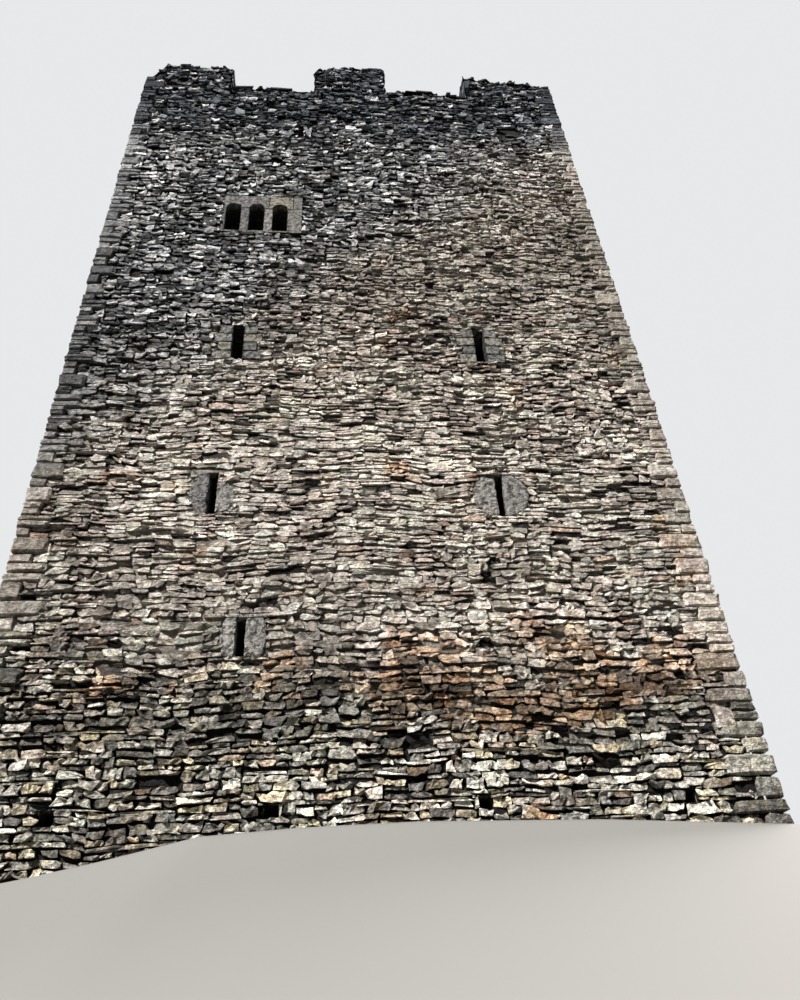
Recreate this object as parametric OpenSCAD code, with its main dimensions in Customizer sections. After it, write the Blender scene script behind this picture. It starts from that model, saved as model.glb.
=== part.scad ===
// Square stone castle keep with splayed slits, a three-light window and worn merlons.
// Millimetres. The origin is under the middle of the keep, at the lowest ground.
// +X runs to the right along the front wall, +Y runs into the keep, +Z is up.

/* [Keep] */
// Outer width of each side
keep_w = 10910; // [9800:10:13000]
// Height of the foundation walls
foundation_h = 450; // [300:50:900]
// How far the foundation stands out from the faces above
foundation_out = 110; // [40:10:250]
// How far the foundation runs in under the paving
foundation_in = 200; // [100:10:400]

/* [Storeys] */
// Ground floor paving to first floor
ground_storey_h = 3600; // [3500:50:4400]
// First floor to second floor
first_storey_h = 3700; // [3500:50:4500]
// Second floor to third floor
second_storey_h = 4300; // [3600:50:5000]
// Third floor to roof deck
third_storey_h = 4800; // [4000:50:5600]
// Roof deck to wall walk
wall_head_h = 1300; // [900:50:1800]

/* [Walls] */
// Wall thickness of the ground storey
base_wall_t = 2200; // [1900:50:2600]
// Set-off that each floor rests on
set_off = 200; // [150:10:260]

/* [Floors] */
// Thickness of the ground floor paving
paving_t = 150; // [80:10:250]
// Thickness of the boards
deck_t = 60; // [30:5:100]
// Height of a joist
joist_h = 300; // [200:10:400]
// Width of a joist
joist_w = 220; // [150:10:300]
// Joists in each floor
joist_count = 9; // [6:1:12]
// Gap between timber and wall
timber_gap = 15; // [5:5:40]

/* [Parapet] */
// Thickness of the parapet
parapet_t = 600; // [400:20:800]
// Wall walk to the sill of the crenels
breast_h = 1200; // [900:50:1500]
// Highest merlon above the crenel sill
merlon_h = 1250; // [900:50:1500]
// Middle of the left crenel
left_crenel_x = -2175; // [-2600:5:-1900]
// Middle of the right crenel
right_crenel_x = 1970; // [1800:5:2600]
// Width of a crenel
crenel_w = 2260; // [1500:20:2400]

/* [Slits] */
// Width of the ground and first storey slits between their jamb stones
slit_w = 140; // [110:5:200]
// Width of the slits above
upper_slit_w = 210; // [140:5:260]
// Depth of the narrow neck of a slit, as deep as its jamb stones
neck_d = 320; // [200:10:500]
// Width of the splay at the inner face
splay_w = 900; // [600:50:1200]
// Fall of the splayed sill to the inner face
sill_fall = 450; // [200:50:600]
// Rise of the splayed head to the inner face
head_rise = 150; // [50:10:170]
// Place of the single ground storey slit
ground_slit_x = -1940; // [-2200:20:-1000]
// Height of the ground storey slit
ground_slit_h = 620; // [400:20:900]
// Head of the ground storey slit below the set-off over it
ground_slit_drop = 190; // [180:10:900]
// Place of the left slit of the first storey
first_left_x = -2575; // [-2700:5:-1600]
// Place of the right slit of the first storey
first_right_x = 2280; // [1600:10:2700]
// How much higher the left slit of the first storey sits
left_lift = 70; // [0:10:150]
// Place of the left slit of the storeys above
upper_left_x = -2410; // [-2700:10:-1600]
// Place of the right slit of the storeys above
upper_right_x = 2340; // [1600:10:2700]
// Height of the first storey slits
first_slit_h = 850; // [600:10:1000]
// Sill of the first storey slits above the first floor
first_slit_sill = 1280; // [1000:20:1500]
// Height of the slits above
upper_slit_h = 940; // [600:10:1100]
// Sill of the slits above, over their floor
upper_slit_sill = 1200; // [1000:20:1500]

/* [Jamb stones] */
// How far jamb stones stand out from the face
jamb_out = 40; // [0:5:60]
// Width of the upright slab left of a ground storey slit
left_upright_w = 220; // [200:10:360]
// Width of the upright slab right of it
right_upright_w = 310; // [200:10:360]
// How much wider those slabs are at the middle than at their ends
upright_bow = 50; // [20:10:90]
// Thickness of the lintel over the ground storey slits
lintel_h = 60; // [40:5:150]
// Width of the rounded slabs beside the left slits of the first storey
left_slab_w = 300; // [200:10:420]
// Height of the short one of them, right of the slit
short_slab_h = 620; // [500:10:840]
// Width of the rounded slabs beside its right slits
right_slab_w = 420; // [300:10:450]
// Width of the rounded slabs at their ends
round_slab_end_w = 150; // [100:10:240]
// Width of a long block in a stacked jamb
long_block_w = 360; // [260:10:450]
// Width of a short block in a stacked jamb
short_block_w = 270; // [180:10:360]
// Courses in a stacked jamb
jamb_courses = 4; // [3:1:6]
// Mortar joint between the blocks of a stacked jamb
jamb_joint = 8; // [4:1:15]

/* [Three-light window] */
// Middle of the window
window_x = -2280; // [-2600:20:-1600]
// Sill above the third floor
window_sill = 900; // [600:20:1100]
// Width of one light
light_w = 330; // [240:10:420]
// Width of a mullion
mullion_w = 190; // [120:10:260]
// Sill to the spring of the arches
light_h = 850; // [600:10:1100]
// Stone over the crown of the arches
head_over = 300; // [200:10:450]
// Joint between the head blocks
head_joint = 6; // [4:1:15]
// How far the right head block reaches past the last light
head_past = 120; // [60:10:200]
// Width of the thin left jamb
left_jamb_w = 90; // [60:10:200]
// Width of the right jamb block
right_jamb_w = 330; // [250:10:450]
// Depth of the dressed stones
dressing_d = 350; // [250:10:500]
// Thickness of the sill slab
sill_t = 60; // [40:5:120]
// How far the sill slab stands out
sill_out = 60; // [20:5:100]
// Width of the embrasure at the inner face
embrasure_w = 2300; // [2000:50:2600]

/* [Doorway] */
// Clear width of the doorway
door_w = 1000; // [800:50:1200]
// Threshold to the spring of the arch
door_spring_h = 1650; // [1500:50:1800]
// Width of the jambs and of the arch ring
door_ring_w = 300; // [200:10:400]
// Depth of the doorway stones
door_stone_d = 400; // [300:10:600]
// Rebate behind the doorway stones, each side
door_rebate = 120; // [60:10:200]
// Thickness of the threshold
threshold_t = 180; // [120:10:250]

/* [Small openings] */
// Width of the drain slot
drain_w = 130; // [80:10:200]
// Height of the drain slot
drain_h = 480; // [200:20:600]
// Place of the drain slot
drain_x = -1380; // [-1800:20:-1000]
// Bottom of the drain slot above the roof deck
drain_sill = 60; // [20:10:200]
// Side of a putlog hole
putlog = 190; // [120:10:260]
// Depth of a putlog hole
putlog_d = 500; // [200:50:900]
// Height of the putlog holes above the foundation
putlog_z = 350; // [200:10:600]
// Place of the first putlog hole
putlog_x = -4180; // [-4400:20:-3800]
// Spacing of the putlog holes
putlog_pitch = 2800; // [2000:50:2900]

/* [Conductor guard] */
// Distance of the guard tube from the right corner
guard_in = 210; // [120:10:400]
// Diameter of the guard tube
guard_d = 34; // [20:1:60]
// Top of the guard tube above the foundation
guard_h = 1560; // [1200:20:2400]
// Gap between the guard tube and the wall
guard_gap = 30; // [10:5:50]
// Clips that hold the guard tube
clip_count = 3; // [2:1:6]
// Height of a clip
clip_h = 30; // [20:2:50]

/* [Hidden] */

// Cuts run this far past a face
past = 20;

// Sides in order: front, right, back, left
sides = [0, 1, 2, 3];
front = sides[0];
right = sides[1];
back = sides[2];
left = sides[3];

// Storeys in order: ground, first, second, third
storeys = [0, 1, 2, 3];
ground = storeys[0];
first = storeys[1];
second = storeys[2];
third = storeys[3];

// Floor levels
ground_level = foundation_h + paving_t;
first_level = ground_level + ground_storey_h;
second_level = first_level + first_storey_h;
third_level = second_level + second_storey_h;
roof_level = third_level + third_storey_h;
walk_level = roof_level + wall_head_h;
crenel_level = walk_level + breast_h;
floor_levels = [ground_level, first_level, second_level, third_level, roof_level];

// A floor rests on its set-off, below its boards and joists
floor_depth = deck_t + joist_h;
lift_bottoms = [foundation_h, first_level - floor_depth, second_level - floor_depth, third_level - floor_depth];
lift_tops = [lift_bottoms[1], lift_bottoms[2], lift_bottoms[3], roof_level - floor_depth];
head_t = base_wall_t - 4 * set_off;

function wall_t(storey) = base_wall_t - storey * set_off;
function lift_length(side, t) = side % 2 == 0 ? keep_w : keep_w - 2 * t;
function slit_places(storey) =
    storey == ground ? [ground_slit_x] : storey == first ? [first_left_x, first_right_x] : [upper_left_x, upper_right_x];
function slit_lifts(storey) = storey == first ? [left_lift, 0] : [0, 0];
function slit_widths(storey) = storey >= second ? upper_slit_w : slit_w;
function slit_heights(storey) = [ground_slit_h, first_slit_h, upper_slit_h, upper_slit_h][storey];
function slit_sills(storey) =
    storey == ground ? lift_tops[ground] - ground_slit_drop - ground_slit_h
    : floor_levels[storey] + (storey == first ? first_slit_sill : upper_slit_sill);
function has_slits(side, storey) = !(side == front && storey == third);

// Width at the middle, width at the ends and height of the slabs left and right of a slit
function slab_sizes(storey, place) =
    storey == ground ? [for (w = [left_upright_w, right_upright_w]) [w, w - upright_bow, ground_slit_h]]
    : place == 0 ? [for (h = [first_slit_h, min(short_slab_h, first_slit_h)]) [left_slab_w, round_slab_end_w, h]]
    : [for (i = [0, 1]) [right_slab_w, round_slab_end_w, first_slit_h]];

// Three-light window
light_pitch = light_w + mullion_w;
lights_w = 3 * light_w + 2 * mullion_w;
window_left = window_x - lights_w / 2 - left_jamb_w;
window_w = left_jamb_w + lights_w + right_jamb_w;
window_bottom = third_level + window_sill;
window_spring = window_bottom + light_h;
window_top = window_spring + light_w / 2 + head_over;
light_places = [for (i = [-1:1]) window_x + i * light_pitch];
mullion_places = [window_x - light_pitch / 2, window_x + light_pitch / 2];
head_joints = [mullion_places[1], window_x + lights_w / 2 + head_past];

// Doorway, in the middle of the back wall
door_spring = first_level + door_spring_h;
door_outer_w = door_w + 2 * door_ring_w;

putlog_places = [for (i = [0:3]) putlog_x + i * putlog_pitch];

// Worn merlon tops: shares of the merlon height at the left end, left shoulder, right shoulder and right end
worn_tops = [
    [[0.16, 0.80, 0.72, 0.70], [0.72, 0.97, 0.94, 0.92], [0.84, 0.72, 0.62, 0.55]],
    [[0.55, 0.60, 0.78, 0.74], [0.80, 0.88, 0.92, 0.84], [0.78, 0.86, 0.70, 0.52]],
    [[0.52, 0.66, 0.84, 0.80], [0.78, 1.00, 0.90, 0.72], [0.74, 0.80, 0.66, 0.48]],
    [[0.48, 0.70, 0.80, 0.76], [0.86, 0.90, 0.78, 0.76], [0.70, 0.78, 0.50, 0.16]]
];
shoulder = 420;

// Wear of the left and right crenel sill of each side, as shares of the breast height
worn_sills = [[0.12, 0.00], [0.04, 0.09], [0.07, 0.00], [0.00, 0.10]];

// Turns a part drawn for the front to another side
module at_side(side) {
    rotate([0, 0, 90 * side]) children();
}

// A flat outline, drawn in X and Z, given depth inwards from the wall face
module into_wall(depth, out = 0) {
    translate([0, depth - keep_w / 2, 0]) rotate([90, 0, 0]) linear_extrude(depth + out) children();
}

// A side view, drawn in Y and Z, given width across the wall
module across_wall(width) {
    translate([-width / 2, 0, 0]) rotate([90, 0, 90]) linear_extrude(width) children();
}

module slab(side, t, bottom, top) {
    translate([-lift_length(side, t) / 2, -keep_w / 2, bottom]) cube([lift_length(side, t), t, top - bottom]);
}

// A slit: a straight neck, then a splay that widens, drops and rises to the inner face
module slit_void(storey, t) {
    w = slit_widths(storey);
    sill = slit_sills(storey);
    head = sill + slit_heights(storey);
    low = sill - sill_fall;
    high = head + head_rise;
    translate([0, -keep_w / 2, 0]) intersection() {
        translate([0, 0, low - past]) linear_extrude(high - low + 2 * past) polygon([
            [-w / 2, -past], [w / 2, -past], [w / 2, neck_d],
            [splay_w / 2, t], [splay_w / 2, t + past], [-splay_w / 2, t + past],
            [-splay_w / 2, t], [-w / 2, neck_d]
        ]);
        across_wall(splay_w + 2 * past) polygon([
            [-past, sill], [neck_d, sill], [t, low], [t + past, low],
            [t + past, high], [t, high], [neck_d, head], [-past, head]
        ]);
    }
}

// Outline of a slab beside a slit, straight at the slit and bowed outwards from its ends to its middle
module bowed_outline(storey, size) {
    w = size[0];
    end_w = size[1];
    h = size[2];
    bow_x = (w * w - end_w * end_w - h * h / 4) / (2 * (w - end_w));
    translate([slit_widths(storey) / 2, slit_sills(storey) + h / 2]) intersection() {
        translate([bow_x, 0]) circle(w - bow_x, $fn = 96);
        translate([0, -h / 2]) square([w, h]);
    }
}

module lintel_outline(storey) {
    translate([-slit_w / 2 - left_upright_w, slit_sills(storey) + slit_heights(storey)])
        square([left_upright_w + slit_w + right_upright_w, lintel_h]);
}

module stacked_outline(storey, joint) {
    course_h = slit_heights(storey) / jamb_courses;
    for (i = [0:jamb_courses - 1])
        translate([slit_widths(storey) / 2, slit_sills(storey) + i * course_h])
            square([i % 2 == 0 ? long_block_w : short_block_w, course_h - joint]);
}

module jamb_outline(storey, joint, size) {
    if (storey >= second) stacked_outline(storey, joint);
    else bowed_outline(storey, size);
}

// The jamb stones of one slit, on both sides of it
module slit_jambs(storey, out, joint = 0) {
    into_wall(neck_d, out) {
        mirror([1, 0]) jamb_outline(storey, joint, $slabs[0]);
        jamb_outline(storey, joint, $slabs[1]);
    }
}

module each_slit(side, storey) {
    places = slit_places(storey);
    if (has_slits(side, storey))
        at_side(side)
            for (i = [0:len(places) - 1])
                let ($slabs = slab_sizes(storey, i)) translate([places[i], 0, slit_lifts(storey)[i]]) children();
}

module light_outline(x) {
    translate([x - light_w / 2, window_bottom]) square([light_w, light_h]);
    translate([x, window_spring]) circle(light_w / 2, $fn = 64);
}

module window_stones_outline() {
    translate([window_left, window_bottom - sill_t]) square([window_w, window_top - window_bottom + sill_t]);
}

// Seat of the dressed stones and the embrasure behind them
module window_void() {
    into_wall(dressing_d, past) window_stones_outline();
    t = wall_t(third);
    translate([window_x, -keep_w / 2, 0]) intersection() {
        translate([0, 0, window_bottom - sill_fall]) linear_extrude(window_top - window_bottom + sill_fall + head_rise)
            polygon([
                [-lights_w / 2, dressing_d - past], [lights_w / 2, dressing_d - past], [lights_w / 2, dressing_d],
                [embrasure_w / 2, t], [embrasure_w / 2, t + past], [-embrasure_w / 2, t + past],
                [-embrasure_w / 2, t], [-lights_w / 2, dressing_d]
            ]);
        across_wall(embrasure_w + 2 * past) polygon([
            [dressing_d - past, window_bottom], [dressing_d, window_bottom], [t, window_bottom - sill_fall],
            [t + past, window_bottom - sill_fall], [t + past, window_top + head_rise],
            [t, window_top + head_rise], [dressing_d, window_spring + light_w / 2],
            [dressing_d - past, window_spring + light_w / 2]
        ]);
    }
}

module door_outline(grow = 0) {
    translate([-door_w / 2 - grow, first_level]) square([door_w + 2 * grow, door_spring_h]);
    translate([0, door_spring]) circle(door_w / 2 + grow, $fn = 96);
}

module threshold_outline() {
    translate([-door_outer_w / 2, first_level - threshold_t]) square([door_outer_w, threshold_t]);
}

module door_void() {
    into_wall(door_stone_d, past) {
        door_outline(door_ring_w);
        threshold_outline();
    }
    into_wall(wall_t(first) + past) door_outline(door_rebate);
}

// Putlog holes, where they fit between the side's ends
module putlog_voids(side) {
    reach = lift_length(side, base_wall_t) / 2 - putlog;
    for (x = putlog_places)
        if (abs(x) < reach)
            translate([x - putlog / 2, -keep_w / 2 - past, foundation_h + putlog_z])
                cube([putlog, putlog_d + past, putlog]);
}

module drain_void() {
    translate([drain_x - drain_w / 2, -keep_w / 2 - past, roof_level + drain_sill])
        cube([drain_w, head_t + 2 * past, drain_h]);
}

// Foundation

module foundation(side) {
    t = foundation_out + base_wall_t + foundation_in;
    outer = keep_w + 2 * foundation_out;
    length = side % 2 == 0 ? outer : outer - 2 * t;
    color("dimgray") at_side(side) translate([-length / 2, -outer / 2, 0]) cube([length, t, foundation_h]);
}

module front_foundation() {
    foundation(front);
}

module right_foundation() {
    foundation(right);
}

module back_foundation() {
    foundation(back);
}

module left_foundation() {
    foundation(left);
}

// Walls

module wall_lift(side, storey) {
    t = wall_t(storey);
    color(storey == ground ? "slategray" : "tan") difference() {
        at_side(side) {
            slab(side, t, lift_bottoms[storey], lift_tops[storey]);
            if (storey == third) slab(side, head_t, lift_tops[storey], walk_level);
        }
        each_slit(side, storey) slit_void(storey, t);
        each_slit(side, storey) slit_jambs(storey, past);
        if (storey == ground) each_slit(side, storey) into_wall(neck_d, past) lintel_outline(storey);
        if (storey == ground) at_side(side) putlog_voids(side);
        if (storey == third) at_side(side) drain_void();
        if (side == front && storey == third) window_void();
        if (side == back && storey == first) at_side(side) door_void();
    }
}

module front_wall_ground() {
    wall_lift(front, ground);
}

module right_wall_ground() {
    wall_lift(right, ground);
}

module back_wall_ground() {
    wall_lift(back, ground);
}

module left_wall_ground() {
    wall_lift(left, ground);
}

module front_wall_first() {
    wall_lift(front, first);
}

module right_wall_first() {
    wall_lift(right, first);
}

module back_wall_first() {
    wall_lift(back, first);
}

module left_wall_first() {
    wall_lift(left, first);
}

module front_wall_second() {
    wall_lift(front, second);
}

module right_wall_second() {
    wall_lift(right, second);
}

module back_wall_second() {
    wall_lift(back, second);
}

module left_wall_second() {
    wall_lift(left, second);
}

module front_wall_third() {
    wall_lift(front, third);
}

module right_wall_third() {
    wall_lift(right, third);
}

module back_wall_third() {
    wall_lift(back, third);
}

module left_wall_third() {
    wall_lift(left, third);
}

// Parapets

// Outline of one merlon between two places, with its worn top
module merlon_outline(from, to, tops) {
    worn = min(shoulder, (to - from) / 3);
    polygon([
        [from, 0], [from, tops[0] * merlon_h], [from + worn, tops[1] * merlon_h],
        [to - worn, tops[2] * merlon_h], [to, tops[3] * merlon_h], [to, 0]
    ]);
}

module parapet(side) {
    ends = lift_length(side, parapet_t) / 2;
    places = [
        -ends, left_crenel_x - crenel_w / 2, left_crenel_x + crenel_w / 2,
        right_crenel_x - crenel_w / 2, right_crenel_x + crenel_w / 2, ends
    ];
    color("gray") at_side(side) {
        difference() {
            slab(side, parapet_t, walk_level, crenel_level);
            for (i = [0, 1])
                translate([places[2 * i + 1], -keep_w / 2 - past, crenel_level - worn_sills[side][i] * breast_h])
                    cube([crenel_w, parapet_t + 2 * past, worn_sills[side][i] * breast_h + past]);
        }
        into_wall(parapet_t)
            translate([0, crenel_level])
                for (i = [0:2]) merlon_outline(places[2 * i], places[2 * i + 1], worn_tops[side][i]);
    }
}

module front_parapet() {
    parapet(front);
}

module right_parapet() {
    parapet(right);
}

module back_parapet() {
    parapet(back);
}

module left_parapet() {
    parapet(left);
}

// Floors

module floor_boards(level, t, thick) {
    w = keep_w - 2 * t - 2 * timber_gap;
    translate([-w / 2, -w / 2, level - thick]) cube([w, w, thick]);
}

// Joists run from front to back and rest on the set-offs at both ends
module joists(level, t) {
    span = keep_w - 2 * t - 2 * timber_gap;
    pitch = (span - joist_w) / (joist_count - 1);
    color("saddlebrown")
        for (i = [0:joist_count - 1])
            translate([-span / 2 + i * pitch, -span / 2, level - deck_t - joist_h]) cube([joist_w, span, joist_h]);
}

module ground_floor() {
    w = keep_w - 2 * base_wall_t;
    color("darkgray") translate([-w / 2, -w / 2, ground_level - paving_t]) cube([w, w, paving_t]);
}

module first_floor() {
    color("peru") floor_boards(first_level, wall_t(first), deck_t);
}

module second_floor() {
    color("peru") floor_boards(second_level, wall_t(second), deck_t);
}

module third_floor() {
    color("peru") floor_boards(third_level, wall_t(third), deck_t);
}

module roof_deck() {
    color("peru") floor_boards(roof_level, head_t, deck_t);
}

module first_joists() {
    joists(first_level, wall_t(first));
}

module second_joists() {
    joists(second_level, wall_t(second));
}

module third_joists() {
    joists(third_level, wall_t(third));
}

module roof_joists() {
    joists(roof_level, head_t);
}

// Dressed stones of the slits

module ground_slit_slabs() {
    color("silver") for (side = sides) each_slit(side, ground) slit_jambs(ground, jamb_out);
}

module ground_slit_lintels() {
    color("darkgray")
        for (side = sides) each_slit(side, ground) into_wall(neck_d, jamb_out) lintel_outline(ground);
}

module first_slit_slabs() {
    color("rosybrown") for (side = sides) each_slit(side, first) slit_jambs(first, jamb_out);
}

module upper_slit_jambs() {
    color("silver")
        for (side = sides, storey = [second, third]) each_slit(side, storey) slit_jambs(storey, jamb_out, jamb_joint);
}

// Three-light window

module window_sill_slab() {
    color("gray") into_wall(dressing_d, sill_out)
        translate([window_left, window_bottom - sill_t]) square([window_w, sill_t]);
}

module window_jambs() {
    color("darkgray") into_wall(dressing_d, jamb_out) {
        translate([window_left, window_bottom]) square([left_jamb_w, light_h]);
        translate([window_x + lights_w / 2, window_bottom]) square([right_jamb_w, light_h]);
    }
}

module window_mullions() {
    color("lightgray") into_wall(dressing_d, jamb_out)
        for (x = mullion_places) translate([x - mullion_w / 2, window_bottom]) square([mullion_w, light_h]);
}

// Head blocks that meet over the right mullion, and a plain block at the right end
module window_heads() {
    color("khaki") into_wall(dressing_d, jamb_out) difference() {
        translate([window_left, window_spring]) square([window_w, window_top - window_spring]);
        for (x = light_places) light_outline(x);
        for (x = head_joints)
            translate([x - head_joint / 2, window_spring - past])
                square([head_joint, window_top - window_spring + 2 * past]);
    }
}

// Doorway

module door_jambs() {
    color("silver") at_side(back) into_wall(door_stone_d, jamb_out)
        for (x = [-door_outer_w / 2, door_w / 2])
            translate([x, first_level]) square([door_ring_w, door_spring_h]);
}

module door_arch() {
    color("lightgray") at_side(back) into_wall(door_stone_d, jamb_out) intersection() {
        difference() {
            translate([0, door_spring]) circle(door_outer_w / 2, $fn = 96);
            translate([0, door_spring]) circle(door_w / 2, $fn = 96);
        }
        translate([-door_outer_w / 2, door_spring]) square([door_outer_w, door_outer_w / 2]);
    }
}

module door_threshold() {
    color("darkgray") at_side(back) into_wall(door_stone_d, sill_out) threshold_outline();
}

// Guard tube of the earth conductor at the right corner, standing on the foundation and clipped to the wall

module conductor_guard() {
    clip_pitch = guard_h / clip_count;
    off = guard_gap + guard_d / 2;
    translate([keep_w / 2 - guard_in, -keep_w / 2, foundation_h]) {
        color("silver") translate([0, -off, 0]) cylinder(h = guard_h, d = guard_d, $fn = 24);
        color("gray")
            for (i = [0:clip_count - 1])
                translate([-guard_d / 2, -off, (i + 0.5) * clip_pitch]) cube([guard_d, off, clip_h]);
    }
}

front_foundation();
right_foundation();
back_foundation();
left_foundation();
front_wall_ground();
right_wall_ground();
back_wall_ground();
left_wall_ground();
front_wall_first();
right_wall_first();
back_wall_first();
left_wall_first();
front_wall_second();
right_wall_second();
back_wall_second();
left_wall_second();
front_wall_third();
right_wall_third();
back_wall_third();
left_wall_third();
front_parapet();
right_parapet();
back_parapet();
left_parapet();
ground_floor();
first_floor();
second_floor();
third_floor();
roof_deck();
first_joists();
second_joists();
third_joists();
roof_joists();
ground_slit_slabs();
ground_slit_lintels();
first_slit_slabs();
upper_slit_jambs();
window_sill_slab();
window_jambs();
window_mullions();
window_heads();
door_jambs();
door_arch();
door_threshold();
conductor_guard();
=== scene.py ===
import math

import bpy
import numpy as np
from mathutils import Matrix, Vector
from mathutils.geometry import convex_hull_2d


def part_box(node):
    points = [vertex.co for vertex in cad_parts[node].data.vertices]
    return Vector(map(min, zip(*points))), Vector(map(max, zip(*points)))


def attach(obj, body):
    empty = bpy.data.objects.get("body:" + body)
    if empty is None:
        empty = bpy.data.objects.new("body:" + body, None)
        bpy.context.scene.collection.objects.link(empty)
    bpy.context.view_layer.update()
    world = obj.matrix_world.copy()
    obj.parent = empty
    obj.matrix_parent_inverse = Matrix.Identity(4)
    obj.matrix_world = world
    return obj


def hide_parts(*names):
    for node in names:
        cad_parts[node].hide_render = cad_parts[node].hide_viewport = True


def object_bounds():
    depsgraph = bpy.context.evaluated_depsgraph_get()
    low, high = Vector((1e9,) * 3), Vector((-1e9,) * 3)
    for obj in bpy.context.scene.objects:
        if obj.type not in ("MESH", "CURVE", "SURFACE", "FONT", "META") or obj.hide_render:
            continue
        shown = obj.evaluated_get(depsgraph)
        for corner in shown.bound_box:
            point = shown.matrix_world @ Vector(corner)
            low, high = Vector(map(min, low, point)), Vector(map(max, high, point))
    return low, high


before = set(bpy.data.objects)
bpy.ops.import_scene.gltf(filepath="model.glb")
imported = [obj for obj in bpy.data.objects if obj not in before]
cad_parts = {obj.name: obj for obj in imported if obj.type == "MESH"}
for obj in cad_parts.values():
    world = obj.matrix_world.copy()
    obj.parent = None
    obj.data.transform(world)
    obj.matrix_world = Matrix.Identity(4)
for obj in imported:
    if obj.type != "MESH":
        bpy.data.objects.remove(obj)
bpy.ops.object.select_all(action="DESELECT")
cadLow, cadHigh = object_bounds()
wallHalf = -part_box("front_wall_first")[0].y  # outer faces of the walls, from the middle
parapetPlan = {
    "thick": 0.6, "walk": 18.3, "headThick": 1.4, "deck": 17.0,
    "breast": 1.2,  # from the parapet's foot to the crenels' sills
    "highest": 1.3, "most": 1.5,  # top of the inner face and of the courses, above the sills
    "row": (0.2, 0.34), "coarse": 1.5,
    "capOver": 0.08, "sillOver": 0.035, "under": 0.004,  # most height of cap stones, gap over them
}
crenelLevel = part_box("front_parapet")[0].z + parapetPlan["breast"]
crenelEnds = (-3.305, -1.045, 0.84, 3.10)  # ends of the merlons, along each side
sideNames = ("front", "right", "back", "left")
sideAxes = [((1, 0), (0, -1)), ((0, 1), (1, 0)), ((-1, 0), (0, 1)), ((0, -1), (-1, 0))]  # along, out
zUp = Vector((0, 0, 1))
print("frame loaded")


def showNew(name, data):
    obj = bpy.data.objects.new(name, data)
    bpy.context.scene.collection.objects.link(obj)
    return obj


camera = {
    "place": (-0.580, -15.842, -1.616),
    "right": (0.99614, -0.07052, -0.05232),  # turn solved from the wall's edges and courses
    "down": (-0.00149, 0.5822, -0.81305),
    "ahead": (0.08779, 0.80998, 0.57984),
    "focalPixels": 760.0,
    "frameHeight": 1000.0,
    "sensor": 36.0,
    "farthest": 500,
}


def placeCamera():
    data = bpy.data.cameras.new("viewCamera")
    data.sensor_width = camera["sensor"]
    data.lens = camera["focalPixels"] * camera["sensor"] / camera["frameHeight"]
    data.clip_end = camera["farthest"]
    obj = showNew("viewCamera", data)
    right, down, ahead = (Vector(camera[k]) for k in ("right", "down", "ahead"))
    turn = Matrix((right, -down, -ahead)).transposed().to_4x4()
    obj.matrix_world = Matrix.Translation(camera["place"]) @ turn
    bpy.context.scene.camera = obj


placeCamera()

# Node helpers


def feed(tree, socket, value):
    if isinstance(value, bpy.types.NodeSocket):
        tree.links.new(value, socket)
    else:
        socket.default_value = value


def addNode(tree, kind, inputs=None, **settings):
    made = tree.nodes.new("ShaderNode" + kind)
    for name, value in settings.items():
        setattr(made, name, value)
    for name, value in (inputs or {}).items():
        feed(tree, made.inputs[name], value)
    return made


def mathOf(tree, operation, *values):
    return addNode(tree, "Math", dict(enumerate(values)), operation=operation).outputs[0]


def product(tree, first, *others):
    for other in others:
        first = mathOf(tree, "MULTIPLY", first, other)
    return first


def slopeOf(tree, value, slope, start):
    return mathOf(tree, "MULTIPLY_ADD", value, slope, start)


def restOf(tree, value, whole=1.0):
    return mathOf(tree, "SUBTRACT", whole, value)


def vectorOf(tree, operation, *values):
    return addNode(tree, "VectorMath", dict(enumerate(values)), operation=operation).outputs


def mixOf(tree, share, first, second, blend="MIX"):
    inputs = {0: share, 6: first, 7: second}
    return addNode(tree, "Mix", inputs, data_type="RGBA", blend_type=blend).outputs[2]


def mixNumber(tree, share, first, second):
    return addNode(tree, "Mix", {0: share, 2: first, 3: second}, data_type="FLOAT").outputs[0]


def rangeOf(tree, value, low, high, toLow=0.0, toHigh=1.0, smooth=True):
    inputs = {"Value": value, "From Min": low, "From Max": high, "To Min": toLow, "To Max": toHigh}
    kind = "SMOOTHSTEP" if smooth else "LINEAR"
    return addNode(tree, "MapRange", inputs, interpolation_type=kind).outputs["Result"]


def spreadOf(tree, value, toLow, toHigh, low=0.0):
    return rangeOf(tree, value, low, 1.0, toLow, toHigh, smooth=False)


def rampOf(tree, value, stops):
    made = tree.nodes.new("ShaderNodeValToRGB")
    while len(made.color_ramp.elements) < len(stops):
        made.color_ramp.elements.new(0.5)
    for element, (place, colour) in zip(made.color_ramp.elements, stops):
        element.position = place
        element.color = (*colour, 1.0)
    feed(tree, made.inputs[0], value)
    return made.outputs[0]


def stretched(tree, place, scale):
    return addNode(tree, "Mapping", {"Vector": place, "Scale": scale}).outputs[0]


def noiseOf(tree, place, scale, detail=4.0, roughness=0.6, stretch=None):
    if stretch:
        place = stretched(tree, place, stretch)
    inputs = {"Vector": place, "Scale": scale, "Detail": detail, "Roughness": roughness}
    return addNode(tree, "TexNoise", inputs).outputs["Fac"]


def cellsOf(tree, place, scale, feature="F1"):
    return addNode(tree, "TexVoronoi", {"Vector": place, "Scale": scale}, feature=feature).outputs


def partsOf(tree, colour):
    return addNode(tree, "SeparateColor", {0: colour}).outputs


def axesOf(tree, place):
    return addNode(tree, "SeparateXYZ", {0: place}).outputs


def farthest(tree, place):
    # How far out a place lies, along x or y
    axes = axesOf(tree, place)
    return mathOf(tree, "MAXIMUM", mathOf(tree, "ABSOLUTE", axes[0]), mathOf(tree, "ABSOLUTE", axes[1]))


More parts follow.
